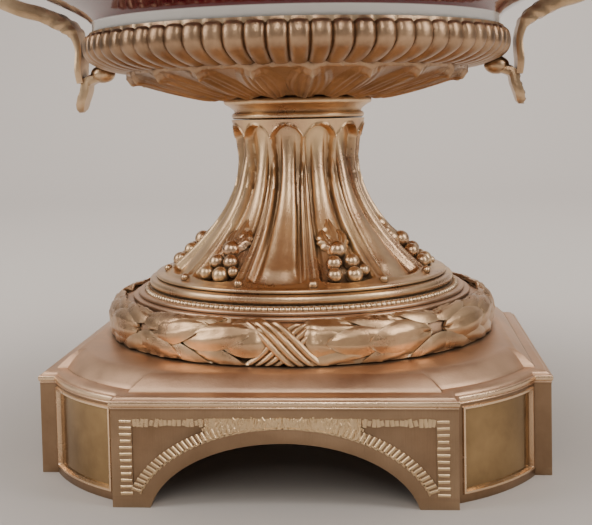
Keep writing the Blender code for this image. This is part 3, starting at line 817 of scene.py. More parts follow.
def wreath_core():
    profile = [(BORE, WREATH_SEAT), (WREATH_RADIUS - 0.002, WREATH_SEAT)]
    turns = np.radians(np.linspace(-75, 90, 16))
    section = over_wreath(np.zeros(16), turns, -0.0006)
    profile += [(float(x), float(z)) for x, _, z in section]
    first = CORE_TOP + THIN_FILLET
    second = first + THIN_FILLET
    profile += half_round(FILLET_RADIUS, CORE_TOP, first, 0.0005)
    profile += half_round(FILLET_RADIUS - 0.0022, first + 0.0001, second - 0.0001, 0.0005)
    profile += [(BEAD_CIRCLE + 0.0014, second), (BEAD_CIRCLE + 0.0008, second - 0.0003)]
    profile += [(BEAD_CIRCLE - 0.0006, second - 0.0003), (BEAD_CIRCLE - 0.0010, WREATH_TOP)]
    profile += [(BORE, WREATH_TOP), profile[0]]
    return spun("wreath_core", profile, WREATH_STEPS)


def bead_line():
    place = Matrix.Translation((BEAD_CIRCLE, 0, WREATH_TOP - BEAD_RADIUS * 0.85))
    places = [Matrix.Rotation(math.tau * number / BEADS, 4, "Z") @ place for number in range(BEADS)]
    return joined("bead_line", spread(sphere(BEAD_RADIUS, 10, 6), places))


settle(wreath_core(), moulding_gilt, ["wreath_ring"])
# The beads take the paler copy, a painted highlight.
settle(bead_line(), highlight_gilt)


# %% A flat laurel leaf
LEAF_LENGTH = 0.0265
LEAF_HALF_WIDTH = 0.0052
LEAF_THICKNESS = 0.0008


def flat_leaf():
    """A leaf with its length from 0 to 1 along X and its width from -1 to 1 along Y."""
    leaf = sheet(18, 10)
    reshape(leaf, lambda points: points * (0.5, 1, 1) + (0.5, 0, 0))
    return leaf


# %% Wrapping a flat leaf round the wreath
QUARTER = math.tau / RIBBONS


def laurel(base, turn, way, length, width, tilt, lift):
    """A rule that turns the flat leaf into one laurel leaf on the wreath."""
    def rule(points):
        along, across = points[:, 0], points[:, 1]
        spread = np.sin(np.pi * np.clip(along, 0.0, 1.0) ** 0.8) ** 0.7 + 0.08 * (1 - along)
        ahead = along * length
        aside = across * width * spread
        crown = 0.0015 * (1 - np.abs(across) ** 2.4) * np.minimum(1, 4 * along * (1 - along) + 0.10)
        midrib = 0.0007 * np.exp(-(across / 0.13) ** 2) * (1 - along ** 2)
        veins = 0.00012 * np.sin(34 * along - 9 * np.abs(across)) * (1 - across ** 2)
        curl = 0.0005 * np.abs(across) ** 5
        forward = ahead * math.cos(tilt) - aside * math.sin(tilt)
        over = ahead * math.sin(tilt) + aside * math.cos(tilt)
        around = base + way * forward / (WREATH_RADIUS + CORE_HALF_WIDTH)
        from_knot = np.abs((around + QUARTER / 2) % QUARTER - QUARTER / 2)
        free = smooth_step(from_knot, math.radians(3.0), math.radians(7.0))
        rise = lift + (0.0013 * along ** 1.4 + crown - midrib + veins + curl) * free - 0.0008 * (1 - free)
        return over_wreath(around, turn + over / CORE_HALF_HEIGHT, rise)
    return rule


# %% [markdown]
# The leaves run from the middle of each quarter towards the nearest ribbon, in three rows
# that overlap like tiles. A little seeded chance in length and tilt keeps them from looking
# stamped. Small berries sit between the leaves.

# %% Laurel leaves and berries
LEAVES_IN_ROW = 3
ROW_SHIFTS = (0.0, 0.35, 0.7)
ROWS = ((-33.0, -6.0), (60.0, 8.0), (14.0, 3.0))
WREATH_BERRY = 0.0011


def leaf_spots(chance):
    """Base angle, turn over the roll, way and number of the row for every leaf."""
    spots = []
    for ribbon in range(RIBBONS):
        for way in (-1, 1):
            start = ribbon * QUARTER - way * QUARTER / 2
            for row, (turn, tilt) in enumerate(ROWS):
                for number in range(LEAVES_IN_ROW):
                    share = (number + ROW_SHIFTS[row]) / LEAVES_IN_ROW
                    base = start + way * (share * (QUARTER / 2 - math.radians(8)) - math.radians(6))
                    spots.append((base + math.radians(chance.uniform(-1, 1)), turn, tilt, way, row))
    return spots


def laurel_leaves():
    chance = random.Random(11)
    leaf = flat_leaf()
    leaves = []
    for base, turn, tilt, way, row in leaf_spots(chance):
        length = LEAF_LENGTH * chance.uniform(0.90, 1.10)
        lean = math.radians(tilt + chance.uniform(-7, 7))
        width = LEAF_HALF_WIDTH * chance.uniform(0.88, 1.10)
        rule = laurel(base, math.radians(turn), way, length, width, lean, 0.0001 * row)
        leaves.append(copy_of(leaf, rule=rule))
    bpy.data.objects.remove(leaf, do_unlink=True)
    return joined("laurel_leaves", leaves)


def wreath_berries():
    chance = random.Random(23)
    places = []
    for base, turn, _, way, row in leaf_spots(random.Random(11)):
        if row == 0 or chance.random() < 0.75:
            continue
        around = base + way * math.radians(1.0)
        over = math.radians(turn - 24 + chance.uniform(-5, 5))
        spot = over_wreath(np.array([around]), np.array([over]), 0.0006)[0]
        places.append(Matrix.Translation(spot))
    return joined("wreath_berries", spread(sphere(WREATH_BERRY, 12, 8), places))


def facing_out(piece):
    """Turns a wrapped sheet so that its faces look away from the wreath's core."""
    form = bmesh.new()
    form.from_mesh(piece.data)
    for face in form.faces:
        middle = face.calc_center_median()
        core = Vector((middle.x, middle.y, 0.0)).normalized() * WREATH_RADIUS
        core.z = WREATH_MIDDLE
        if face.normal.dot(middle - core) < 0:
            face.normal_flip()
    form.to_mesh(piece.data)
    form.free()


def walled(piece, thickness):
    """Gives an open sheet a wall, inwards."""
    modified(piece, "SOLIDIFY", thickness=thickness, offset=-1.0)
    deselect()
    return piece


def laurel_sheet():
    piece = laurel_leaves()
    facing_out(piece)
    return walled(piece, LEAF_THICKNESS)


settle(laurel_sheet(), wreath_gilt, angle=50)
settle(wreath_berries(), wreath_gilt, angle=60)

# %% [markdown]
# Each ribbon is two reeded bands that cross over the garland. A band is a fine grid whose
# cross direction carries four reeds; it is wrapped with the same function as the leaves.

# %% Crossed ribbons
RIBBON_WIDTH = 0.0088
REEDS = 4
RIBBON_LEAN = math.radians(47)
RIBBON_FROM = math.radians(-68)
RIBBON_TO = math.radians(89)
RIBBON_THICKNESS = 0.0013


def ribbon_band(knot, hand, lift):
    band = sheet(44, 32)

    def rule(points):
        along, across = (points[:, 0] + 1) / 2, points[:, 1]
        turn = RIBBON_FROM + (RIBBON_TO - RIBBON_FROM) * along
        over = (turn - math.radians(4)) * CORE_HALF_HEIGHT
        aside = hand * over * math.tan(RIBBON_LEAN) + across * RIBBON_WIDTH / 2 / math.cos(RIBBON_LEAN)
        reed = np.abs(np.sin(across * math.pi / 2 * REEDS)) ** 0.9
        rise = (lift + 0.0009 * reed) * smooth_step(along, 1.0, 0.85)
        around = knot + aside / (WREATH_RADIUS + CORE_HALF_WIDTH * np.cos(turn))
        return over_wreath(around, turn, rise)

    reshape(band, rule)
    return band


def ribbons():
    bands = []
    for number in range(RIBBONS):
        knot = -math.pi / 2 + number * QUARTER
        bands.append(ribbon_band(knot, 1, 0.0005))
        bands.append(ribbon_band(knot, -1, 0.0013))
    piece = joined("ribbons", bands)
    facing_out(piece)
    return walled(piece, RIBBON_THICKNESS)


settle(ribbons(), wreath_gilt, angle=60)

# %% [markdown]
# ## The fluted foot
#
# The foot flares like a trumpet from a narrow neck to a round disc. Twelve ribs, each with
# a fine groove down its middle, part twelve flutes. A long tongue lies in every flute, and
# every second flute ends in a sprig of berries. The plain trumpet is spun first; the ribs,
# flutes and tongues are then pressed into it by a rule that moves each vertex along the
# profile's own normal.

# %% Foot sizes
foot_low, foot_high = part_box("fluted_foot")
FOOT_FLOOR = foot_low[2]
DISC_EDGE = 0.0026
DISC_TOP = FOOT_FLOOR + 2 * DISC_EDGE
DISC_TOP_RADIUS = 0.0572
SHAFT = foot_high[2] - DISC_TOP
DISC_RADIUS = foot_high[0]
FLARE_RADIUS = 0.0530
WAIST_RADIUS = 0.0241
NECK_RADIUS = 0.0264
WAIST_SHARE = 0.72
FLARE_POWER = 1.9
FLUTES = 12
FLUTE_PHASE = math.radians(9.0)
FLUTE_DEPTH = 0.0026
SHAFT_ROWS = 140
STEPS_PER_FLUTE = 44
NEARBY = 0.002
print("foot shaft", round(SHAFT, 4), "high")


def foot_radius(share):
    """The ribs' radius at a share of the shaft's height."""
    share = np.asarray(share, float)
    fall = np.clip(1 - share / WAIST_SHARE, 0, 1) ** FLARE_POWER
    low = WAIST_RADIUS + (FLARE_RADIUS - WAIST_RADIUS) * fall
    rise = np.clip((share - WAIST_SHARE) / (1 - WAIST_SHARE), 0, 1) ** 2
    return np.where(share < WAIST_SHARE, low, WAIST_RADIUS + (NECK_RADIUS - WAIST_RADIUS) * rise)


def foot_slope(share):
    """Run and rise of the ribs' line at a share of the shaft's height, as parts of its length."""
    run = foot_radius(share + NEARBY) - foot_radius(share - NEARBY)
    rise = 2 * NEARBY * SHAFT
    length = np.hypot(run, rise)
    return run / length, rise / length


# %% Flutes, tongues and ribs as a rule
RIB_FROM = 0.70
BED_DEPTH = 1.2
TONGUE_HALF = 0.57
TONGUE_TOP = 0.95
BERRY_FLUTES_TOP = 0.66


def flute_relief(around, share):
    """Depth of the carving, below the ribs' level, as a share of the flutes' depth."""
    place = (around - FLUTE_PHASE) / (math.tau / FLUTES)
    across = np.abs(2 * (place % 1.0) - 1)
    berries = (np.floor(place).astype(int) % 2) == 1
    edge = RIB_FROM + 0.16 * smooth_step(share, 0.50, 0.92)
    rib = smooth_step(across, edge - 0.03, edge + 0.13)
    groove = 0.42 * np.exp(-((across - 1.0) / 0.075) ** 4)
    half = TONGUE_HALF * (0.82 + 0.18 * smooth_step(share, 0.75, 0.3))
    cushion = np.sqrt(np.clip(1 - (across / half) ** 2, 0, 1)) ** 0.8
    peak = BED_DEPTH * np.where(berries, BERRY_FLUTES_TOP, 0.84)
    begun = smooth_step(share, TONGUE_TOP, TONGUE_TOP - 0.34)
    ended = smooth_step(share, 0.026 + 0.08 * across ** 3, 0.110 + 0.12 * across ** 3)
    thinned = 1 - 0.45 * smooth_step(share, 0.30, 0.05)
    flute = BED_DEPTH - peak * cushion * begun * ended * thinned
    top = 0.965 - 0.060 * (across / edge) ** 2.4
    open_above = 1 - smooth_step(share, top - 0.022, top)
    open_below = smooth_step(share, 0.012 + 0.02 * across ** 2, 0.030 + 0.03 * across ** 2)
    lip = 0.22 * np.exp(-((share - top - 0.004) / 0.006) ** 2)
    carved = flute * (1 - rib) * open_above * open_below - lip
    return carved + groove * rib * smooth_step(share, 0.02, 0.05) * (1 - smooth_step(share, 0.66, 0.80))


def press_flutes(points):
    around = np.arctan2(points[:, 1], points[:, 0])
    radius = np.hypot(points[:, 0], points[:, 1])
    share = (points[:, 2] - DISC_TOP) / SHAFT
    run, rise = foot_slope(share)
    on_shaft = (share > 0.004) & (share < 0.999) & (np.abs(radius - foot_radius(share)) < 0.0004)
    depth = np.where(on_shaft, FLUTE_DEPTH * flute_relief(around, share), 0.0)
    carved = radius - rise * depth
    height = points[:, 2] + run * depth
    return np.stack([carved * np.cos(around), carved * np.sin(around), height], axis=1)


# %% Foot body
def foot_body():
    profile = [(0.0, FOOT_FLOOR), (DISC_RADIUS - 0.0010, FOOT_FLOOR)]
    profile += half_round(DISC_RADIUS - 0.0010, FOOT_FLOOR + 0.0001, FOOT_FLOOR + 0.0031, 0.0009, 8)
    profile += half_round(DISC_TOP_RADIUS - 0.0004, FOOT_FLOOR + 0.0034, DISC_TOP - 0.0003, 0.0006, 6)
    profile.append((FLARE_RADIUS + 0.0006, DISC_TOP - 0.0003))
    for i in range(SHAFT_ROWS + 1):
        share = i / SHAFT_ROWS
        profile.append((float(foot_radius(share)), DISC_TOP + SHAFT * share))
    profile.append((0.0, DISC_TOP + SHAFT))
    body = spun("fluted_foot_body", profile, FLUTES * STEPS_PER_FLUTE)
    reshape(body, press_flutes)
    return body


settle(foot_body(), foot_gilt, ["fluted_foot"], angle=60)

# %% [markdown]
# A sprig is a husk of three leaves with six round berries below it. It is built once, on
# the flare's slope, and turned to every second flute. A small knob closes each rib.

# %% Berries, husks and knobs
BERRY_RADIUS = 0.0030
BERRY_SPOTS = ((-0.0044, 0.056, 0.95), (0.0030, 0.052, 1.05), (-0.0030, 0.118, 1.0),
               (0.0038, 0.122, 1.0), (0.0002, 0.190, 1.15), (0.0076, 0.074, 0.7))
HUSK_FOOT = 0.17
HUSK_TIP = 0.40
HUSK_HALF_WIDTH = 0.0034
HUSK_LEAN = 0.0036
KNOB_RADIUS = 0.0016
SPRIGS = FLUTES // 2
SPRIG_ANGLE = FLUTE_PHASE + 3 * math.pi / FLUTES


def on_foot(aside, share, lift):
    """A point on the flare at a distance aside from a flute's middle."""
    radius = float(foot_radius(share))
    run, rise = foot_slope(share)
    out = radius + lift * rise
    height = DISC_TOP + SHAFT * share - lift * run
    angle = SPRIG_ANGLE + aside / radius
    return Vector((out * math.cos(angle), out * math.sin(angle), height))


def berry(aside, share, size):
    fruit = sphere(BERRY_RADIUS * size, 20, 12, on_foot(aside, share, -BERRY_RADIUS * 0.15))
    only(fruit)
    bpy.ops.object.transform_apply(location=True)
    return fruit


def husk_leaf(lean):
    """One leaf of the husk, upright for a lean of 0, and bent aside for -1 or 1."""
    leaf = sheet(26, 10)
    reach = (HUSK_TIP - HUSK_FOOT) * (1.0 if lean == 0 else 0.66)

    def rule(points):
        moved = []
        for x, y, _ in points:
            along = (x + 1) / 2
            half = HUSK_HALF_WIDTH * math.sin(math.pi * min(1.0, 0.2 + 0.8 * along)) ** 0.8
            half *= 1 + 0.10 * math.sin(along * 30)
            bend = lean * HUSK_LEAN * math.sin(math.pi * along * 0.7)
            rise = 0.0024 * (1 - y * y) * (1 - along ** 3) - 0.0006 * math.exp(-(y / 0.15) ** 2)
            moved.append(on_foot(bend + y * half, HUSK_FOOT + reach * along, rise - 0.0016))
        return np.array(moved)

    reshape(leaf, rule)
    only(leaf)
    bpy.ops.object.mode_set(mode="EDIT")
    bpy.ops.mesh.select_all(action="SELECT")
    bpy.ops.mesh.normals_make_consistent(inside=False)
    faces = bmesh.from_edit_mesh(leaf.data).faces
    faces.ensure_lookup_table()
    if faces[len(faces) // 2].normal.dot(on_foot(0, 0.3, 1.0)) < 0:
        bpy.ops.mesh.flip_normals()
    deselect()
    return walled(leaf, 0.0018)


def berry_sprig():
    parts = [berry(*spot) for spot in BERRY_SPOTS]
    parts += [husk_leaf(lean) for lean in (-1, 1, 0)]
    return joined("sprig", parts)


def all_sprigs():
    turns = [Matrix.Rotation(math.tau * n / SPRIGS, 4, "Z") for n in range(SPRIGS)]
    pieces = spread(berry_sprig(), turns)
    radius = float(foot_radius(0.0)) - KNOB_RADIUS / 4
    places = []
    for number in range(FLUTES):
        angle = FLUTE_PHASE + math.tau * number / FLUTES
        spot = (radius * math.cos(angle), radius * math.sin(angle), DISC_TOP + KNOB_RADIUS / 2)
        places.append(Matrix.Translation(spot))
    return joined("foot_sprigs", pieces + spread(sphere(KNOB_RADIUS, 14, 8), places))


settle(all_sprigs(), foot_gilt, angle=60)

# %% [markdown]
# ## The collar
#
# Between foot and cup sits a small turned collar: a round ring, a hollow, and a flat ring
# below. Turned work is what spin is for.

# %% Collar
collar_low, collar_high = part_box("neck_collar")
COLLAR_HEIGHT = collar_high[2] - collar_low[2]
COLLAR_RADIUS = collar_high[0]
COLLAR_STEPS = 128
# The hollow between the rings: inset from the greatest radius, share of the height
COLLAR_HOLLOW = ((0.0042, 0.32), (0.0038, 0.42), (0.0026, 0.54), (0.0016, 0.62))


def collar():
    z0 = collar_low[2]
    profile = [(0.0, z0)]
    profile += half_round(COLLAR_RADIUS - 0.0040, z0, z0 + COLLAR_HEIGHT * 0.28, 0.0009, 8)
    for inset, share in COLLAR_HOLLOW:
        profile.append((COLLAR_RADIUS - inset, z0 + COLLAR_HEIGHT * share))
    profile += half_round(COLLAR_RADIUS - 0.0014, z0 + COLLAR_HEIGHT * 0.64, z0 + COLLAR_HEIGHT, 0.0014, 10)
    profile.append((0.0, z0 + COLLAR_HEIGHT))
    return spun("turned_collar", profile, COLLAR_STEPS)


settle(collar(), foot_gilt, ["neck_collar"])

# %% [markdown]
# ## The cup
#
# The cup that holds the bowl has seventy gadroons, which are round lobes side by side, and
# leaves beneath them. Both run out from the middle, so they are pressed into a spun dish by
# one rule: across each lobe the section is a half circle, which leaves a sharp dark crease
# between neighbours.

# %% Cup sizes
_, cup_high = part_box("gadrooned_cup")
CUP_FLOOR = 0.1333
CUP_TOP = cup_high[2]
CUP_RADIUS = cup_high[0]
CUP_SEAT = 0.0300
CUP_RIM = 0.0032
CUP_RECESS = 0.0018
GADROONS = 70
GADROON_CREST = 0.0018
CUP_LEAVES = 20
LEAF_ROWS = 64
LEAF_DEPTH = 0.0014
UNDER_CURVE = 1.35
# The gadroons' line: distance out from the cup's greatest radius, height over its top
LOBE_LINE = (
    (-0.0165, -0.0160),
    (-0.0084, -0.0138),
    (-0.0030, -0.0113),
    (-0.0005, -0.0085),
    (0.0, -0.0052),
    (-0.0006, -0.0023),
    (-0.0018, -0.0006),
)
LOBE_STEPS = 8
STEPS_PER_LOBE = 8


def under_profile(share):
    """The leafed underside, from the seat out to the gadroons' inner ends."""
    radius = CUP_SEAT + (CUP_RADIUS + LOBE_LINE[0][0] - CUP_SEAT) * share
    return radius, CUP_FLOOR + (CUP_TOP + LOBE_LINE[0][1] - CUP_FLOOR) * share ** UNDER_CURVE


def lobe_points():
    return [(CUP_RADIUS + out, CUP_TOP + up) for out, up in smooth_line(LOBE_LINE, LOBE_STEPS)]


# %% Cup relief
def lobe_relief(around, share):
    """Half-round lobes side by side, closed by round ends."""
    across = np.abs(2 * ((around * GADROONS / math.tau) % 1.0) - 1)
    ends = np.sqrt(np.clip(1 - (2 * share - 1) ** 10, 0, 1))
    return GADROON_CREST * (np.sqrt(np.clip(1 - across ** 2, 0, 1)) * ends - 1)


def leaf_relief(around, share):
    """Broad leaves with a midrib and curved veins, whose tips curl over the gadroons' ends."""
    across = np.abs(2 * ((around * CUP_LEAVES / math.tau) % 1.0) - 1)
    width = 0.50 + 0.50 * np.sin(math.pi * np.clip(share, 0, 1) ** 0.9)
    ended = 1 - smooth_step(share, 0.90, 1.0) * (0.6 + 0.4 * smooth_step(across, 0.05, 0.35))
    crown = np.sqrt(np.clip(1 - (across / width) ** 2, 0, 1))
    body = LEAF_DEPTH * crown * smooth_step(share, 0.0, 0.12) * ended
    midrib = 0.0005 * np.exp(-(across / 0.08) ** 2)
    vein_room = (across < width * 0.92) * smooth_step(share, 0.05, 0.2)
    veins = 0.00028 * np.cos(math.tau * 3 * across / width) * vein_room
    tip = 0.0013 * np.exp(-((share - 0.93) / 0.05) ** 2) * np.exp(-(across / 0.22) ** 2)
    return body + midrib + veins + tip


# %% Cup body
def cup_body():
    leaves = [under_profile(i / LEAF_ROWS) for i in range(LEAF_ROWS + 1)]
    lobes = lobe_points()
    rim = CUP_RADIUS - CUP_RIM
    profile = [(0.0, CUP_FLOOR)] + leaves + lobes[1:]
    profile += [(rim + 0.0006, CUP_TOP - 0.0001), (rim, CUP_TOP - 0.0003)]
    profile += [(rim, CUP_TOP - CUP_RECESS), (0.0, CUP_TOP - CUP_RECESS)]
    lines = np.array(profile)
    body = spun("cup_body", profile, STEPS_PER_LOBE * GADROONS)

    def press(points):
        around = np.arctan2(points[:, 1], points[:, 0])
        radius = np.hypot(points[:, 0], points[:, 1])
        spots = np.stack([radius, points[:, 2]], axis=1)
        moved = points.copy()
        for index in range(1, len(leaves) + len(lobes)):
            chosen = np.linalg.norm(spots - lines[index], axis=1) < SAME_PLACE
            run, rise = lines[index + 1] - lines[index - 1]
            length = math.hypot(run, rise)
            if index > len(leaves):
                out = lobe_relief(around[chosen], (index - len(leaves)) / len(lobes))
            else:
                out = leaf_relief(around[chosen], (index - 1) / LEAF_ROWS)
            new_radius = radius[chosen] + out * rise / length
            moved[chosen, 0] = new_radius * np.cos(around[chosen])
            moved[chosen, 1] = new_radius * np.sin(around[chosen])
            moved[chosen, 2] = points[chosen, 2] - out * run / length
        return moved

    reshape(body, press)
    return body


settle(cup_body(), shaded_cup_gilt, ["gadrooned_cup"], angle=60)

# %% [markdown]
# ## The porcelain
#
# The bowl is thrown, so it is spun. Its foot stands in the cup's recess. The white glaze
# shows in a band above the bronze and inside, the rest is a deep red ground.

# %% Bowl sizes
bowl_low, bowl_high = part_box("porcelain_bowl")
BOWL_FLOOR_Z = bowl_low[2]
BOWL_HEIGHT = bowl_high[2] - bowl_low[2]
BOWL_RIM = bowl_high[0]
BOWL_FOOT = CUP_RADIUS - CUP_RIM - 0.0006
BOWL_WALL = 0.0040
FOOT_BAND = 0.0047
FLARE_REACH = 0.0122
FLARE_RISE = 0.0080
BODY_START = math.radians(25)
BODY_END = math.radians(86)
LIP_ROLL = 0.0020
FOOT_RING = 0.0052
BOWL_FLOOR = 0.0052
FLARE_STEPS = 8
BODY_STEPS = 24
BOWL_STEPS = 160
WHITE_TO = 0.0053


def bowl_outside():
    points = [(BOWL_FOOT - 0.0004, 0.0), (BOWL_FOOT, 0.0004), (BOWL_FOOT, FOOT_BAND)]
    for i in range(1, FLARE_STEPS + 1):
        run = i / FLARE_STEPS
        points.append((BOWL_FOOT + FLARE_REACH * run, FOOT_BAND + FLARE_RISE * run ** 0.7))
    start_radius, start_height = points[-1]
    full_run = math.sin(BODY_END) - math.sin(BODY_START)
    full_rise = math.cos(BODY_START) - math.cos(BODY_END)
    for i in range(1, BODY_STEPS + 1):
        angle = BODY_START + (BODY_END - BODY_START) * i / BODY_STEPS
        run = (math.sin(angle) - math.sin(BODY_START)) / full_run
        rise = (math.cos(BODY_START) - math.cos(angle)) / full_rise
        radius = start_radius + (BOWL_RIM - LIP_ROLL - start_radius) * run
        points.append((radius, start_height + (BOWL_HEIGHT - 2 * LIP_ROLL - start_height) * rise))
    points += [(BOWL_RIM - 0.0006, BOWL_HEIGHT - 0.0022), (BOWL_RIM, BOWL_HEIGHT - 0.0012)]
    points += [(BOWL_RIM - 0.0002, BOWL_HEIGHT - 0.0003), (BOWL_RIM - 0.0012, BOWL_HEIGHT)]
    return points


def bowl_inside(outside):
    inside = [(BOWL_RIM - 0.0026, BOWL_HEIGHT - 0.0004)]
    for i in range(len(outside) - 6, 10, -1):
        run = outside[i + 1][0] - outside[i - 1][0]
        rise = outside[i + 1][1] - outside[i - 1][1]
        length = math.hypot(run, rise)
        inside.append((outside[i][0] - BOWL_WALL * rise / length, outside[i][1] + BOWL_WALL * run / length))
    floor = FOOT_BAND + BOWL_FLOOR
    inside += [(BOWL_FOOT * 0.97, floor + 0.0030), (BOWL_FOOT * 0.88, floor + 0.0009)]
    inside += [(BOWL_FOOT * 0.7, floor), (0.0, floor)]
    return inside


# %% Glazes
def glaze():
    material, add, link, shader = new_material("porcelain_glaze")
    shader.inputs["Roughness"].default_value = 0.09
    shader.inputs["Coat Weight"].default_value = 0.6
    shader.inputs["Coat Roughness"].default_value = 0.04
    place = add("ShaderNodeTexCoord").outputs["Object"]
    parts = add("ShaderNodeSeparateXYZ")
    link(place, parts.inputs["Vector"])
    edge = BOWL_FLOOR_Z + WHITE_TO
    height = ranged(add, link, parts.outputs["Z"], (edge - 0.0002, edge + 0.0002), (0.0, 1.0))
    clouds = noise(add, link, place, Scale=26.0, Detail=3.0)
    red = shaded(add, link, clouds, [(0.3, (0.075, 0.006, 0.010)), (0.7, (0.135, 0.010, 0.016))])
    both = add("ShaderNodeMix", data_type="RGBA")
    link(height, both.inputs["Factor"])
    both.inputs[6].default_value = (0.74, 0.72, 0.69, 1.0)
    link(red, both.inputs[7])
    link(both.outputs[2], shader.inputs["Base Color"])
    bumped(add, link, shader, noise(add, link, place, Scale=60.0, Detail=1.0), 0.04, 0.001)
    return material


def white_glaze():
    material, add, link, shader = new_material("white_glaze")
    shader.inputs["Roughness"].default_value = 0.10
    place = add("ShaderNodeTexCoord").outputs["Object"]
    clouds = noise(add, link, place, Scale=30.0, Detail=4.0)
    white = shaded(add, link, clouds, [(0.3, (0.70, 0.68, 0.64)), (0.7, (0.78, 0.765, 0.735))])
    link(white, shader.inputs["Base Color"])
    bumped(add, link, shader, clouds, 0.03, 0.001)
    return material


# %% Bowl
def bowl():
    outside = bowl_outside()
    inside = bowl_inside(outside)
    ring = BOWL_FOOT - FOOT_RING
    under = [(0.0, FOOT_BAND), (ring - 0.002, FOOT_BAND), (ring, FOOT_BAND - 0.0012)]
    under += [(ring, 0.0003), (ring + 0.0003, 0.0)]
    profile = [(radius, BOWL_FLOOR_Z + height) for radius, height in under + outside + inside]
    piece = spun("glazed_bowl", profile, BOWL_STEPS)
    settle(piece, glaze(), ["porcelain_bowl"], angle=50)
    piece.data.materials.append(white_glaze())
    well = BOWL_FLOOR_Z + FOOT_BAND
    for face in piece.data.polygons:
        x, y, z = face.center
        inward = face.normal.x * x + face.normal.y * y < 0 or face.normal.z > 0.3
        if z < BOWL_FLOOR_Z + FOOT_BAND or (z > well + 0.003 and inward):
            face.material_index = 1
    return piece


bowl()

# %% [markdown]
# ## The handles
#
# A strap rises beside the cup, turns outward under the bowl in a collar of leaf work, and
# sweeps up and back to the bowl's side. A veined tongue hangs from its lower end, and a
# round boss sits under the cup's edge. The strap is a closed section extruded from place to
# place along a smooth line.

# %% Handle line
HANDLE_WIDTH = 0.0130
HANDLE_GAP = 0.0016
STRAP_THIN = 0.0029
STRAP_THICK = 0.0060
STRAP_UPPER = 0.0048
BACK_WIDTH = 0.0098
UPPER_WIDTH = 0.0104
STRAP_OUTREACH = 0.0200
STRAP_TOP_DROP = 0.0150
SECTION_POINTS = 24
STRAP_STEPS = 12
TONGUE_STEPS = 8
WALL_X = 0.1545
BOSS_INSET = 0.0051
handle_low, handle_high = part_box("handle_right")
print("handle from", round(handle_low[2], 4), "to", round(handle_high[2], 4))


def strap_points():
    """Distance out, height, thickness and width, from the curl up to the bowl's wall."""
    middle = CUP_RADIUS + HANDLE_GAP + STRAP_THIN / 2
    top = BOWL_FLOOR_Z + BOWL_HEIGHT - STRAP_TOP_DROP
    reach = BOWL_RIM + STRAP_OUTREACH
    return [
        (middle + 0.0002, CUP_TOP - 0.0182, STRAP_THIN * 0.9, HANDLE_WIDTH * 0.8),
        (middle + 0.0006, CUP_TOP - 0.0130, STRAP_THIN, HANDLE_WIDTH),
        (middle + 0.0003, CUP_TOP - 0.0040, STRAP_THIN, HANDLE_WIDTH),
        (middle + 0.0040, CUP_TOP + 0.0034, STRAP_THICK * 0.7, HANDLE_WIDTH),
        (middle + 0.0153, CUP_TOP + 0.0094, STRAP_THICK, HANDLE_WIDTH),
        (middle + 0.0295, CUP_TOP + 0.0142, STRAP_THICK, HANDLE_WIDTH * 0.95),
        (BOWL_RIM - 0.0060, CUP_TOP + 0.0330, STRAP_UPPER, UPPER_WIDTH),
        (reach - 0.0045, (CUP_TOP + top) / 2 + 0.0080, STRAP_UPPER, BACK_WIDTH),
        (reach - 0.0020, top - 0.0150, STRAP_UPPER, BACK_WIDTH),
        (reach - 0.0110, top - 0.0012, STRAP_UPPER, UPPER_WIDTH),
        (WALL_X, top, STRAP_UPPER, UPPER_WIDTH),
    ]


def tongue_points():
    """The same for the tongue, from under the boss down to its tip."""
    inner = CUP_RADIUS + HANDLE_GAP
    head = CUP_TOP - 0.0176
    return [
        (CUP_RADIUS - BOSS_INSET, CUP_TOP - 0.0159, 0.0027, 0.0063),
        (inner - 0.0010, head, 0.0038, 0.0081),
        (inner + 0.0002, head - 0.0039, 0.0038, 0.0090),
        (inner + 0.0016, head - 0.0078, 0.0038, 0.0090),
        (inner + 0.0022, head - 0.0108, 0.0033, 0.0068),
        (inner + 0.0022, head - 0.0123, 0.0014, 0.0027),
    ]


# %% Handle sections
SQUARE_CORNERS = 0.78


def section_ring(radius, height, thick, width, across, relief):
    """One closed section, nearly square, with its relief pushed out square to the line."""
    ring = []
    for k in range(SECTION_POINTS):
        angle = math.tau * k / SECTION_POINTS
        over, out = math.cos(angle), math.sin(angle)
        square = max(abs(over), abs(out)) ** SQUARE_CORNERS
        over, out = over / square, out / square
        lift = relief(over, out)
        depth = out * (thick / 2 + lift)
        aside = over * (width / 2 + max(lift, 0.0) * 0.6)
        ring.append((radius + across[0] * depth, aside, height + across[1] * depth))
    return ring


def rings_along(line, relief):
    rings = []
    for i, (radius, height, thick, width) in enumerate(line):
        before, after = line[max(i - 1, 0)], line[min(i + 1, len(line) - 1)]
        run, rise = after[0] - before[0], after[1] - before[1]
        length = math.hypot(run, rise)
        across = (rise / length, -run / length)
        here = partial(relief, i / (len(line) - 1))
        rings.append(section_ring(radius, height, thick, width, across, here))
    return rings


# %% [markdown]
# Where the strap bends outward it is wrapped in a collar of leaf work: slanting ridges that
# run round all its sides. Above it the outer face has two grooves. The tongue has a midrib
# and short veins.

# %% Handle relief
COLLAR_FROM, COLLAR_TO = 0.26, 0.385


def strap_relief(share, over, out):
    groove = -0.0005 * math.exp(-((abs(over) - 0.5) / 0.13) ** 2) if out > 0.3 else 0.0
    if share < 0.12:
        groove = 0.0
    if COLLAR_FROM < share < COLLAR_TO:
        inside = (share - COLLAR_FROM) / (COLLAR_TO - COLLAR_FROM)
        ridge = abs(math.sin(inside * math.pi * 3 - out * 1.3 - abs(over) * 0.7)) ** 0.7
        return 0.0009 * ridge * math.sin(math.pi * inside) ** 0.5
    return groove


def tongue_relief(share, over, out):
    if out < 0.2:
        return 0.0
    veins = 0.00025 * math.sin(share * 38 - abs(over) * 4)
    return 0.0005 * math.exp(-(over / 0.2) ** 2) + veins * (1 - abs(over) ** 4)


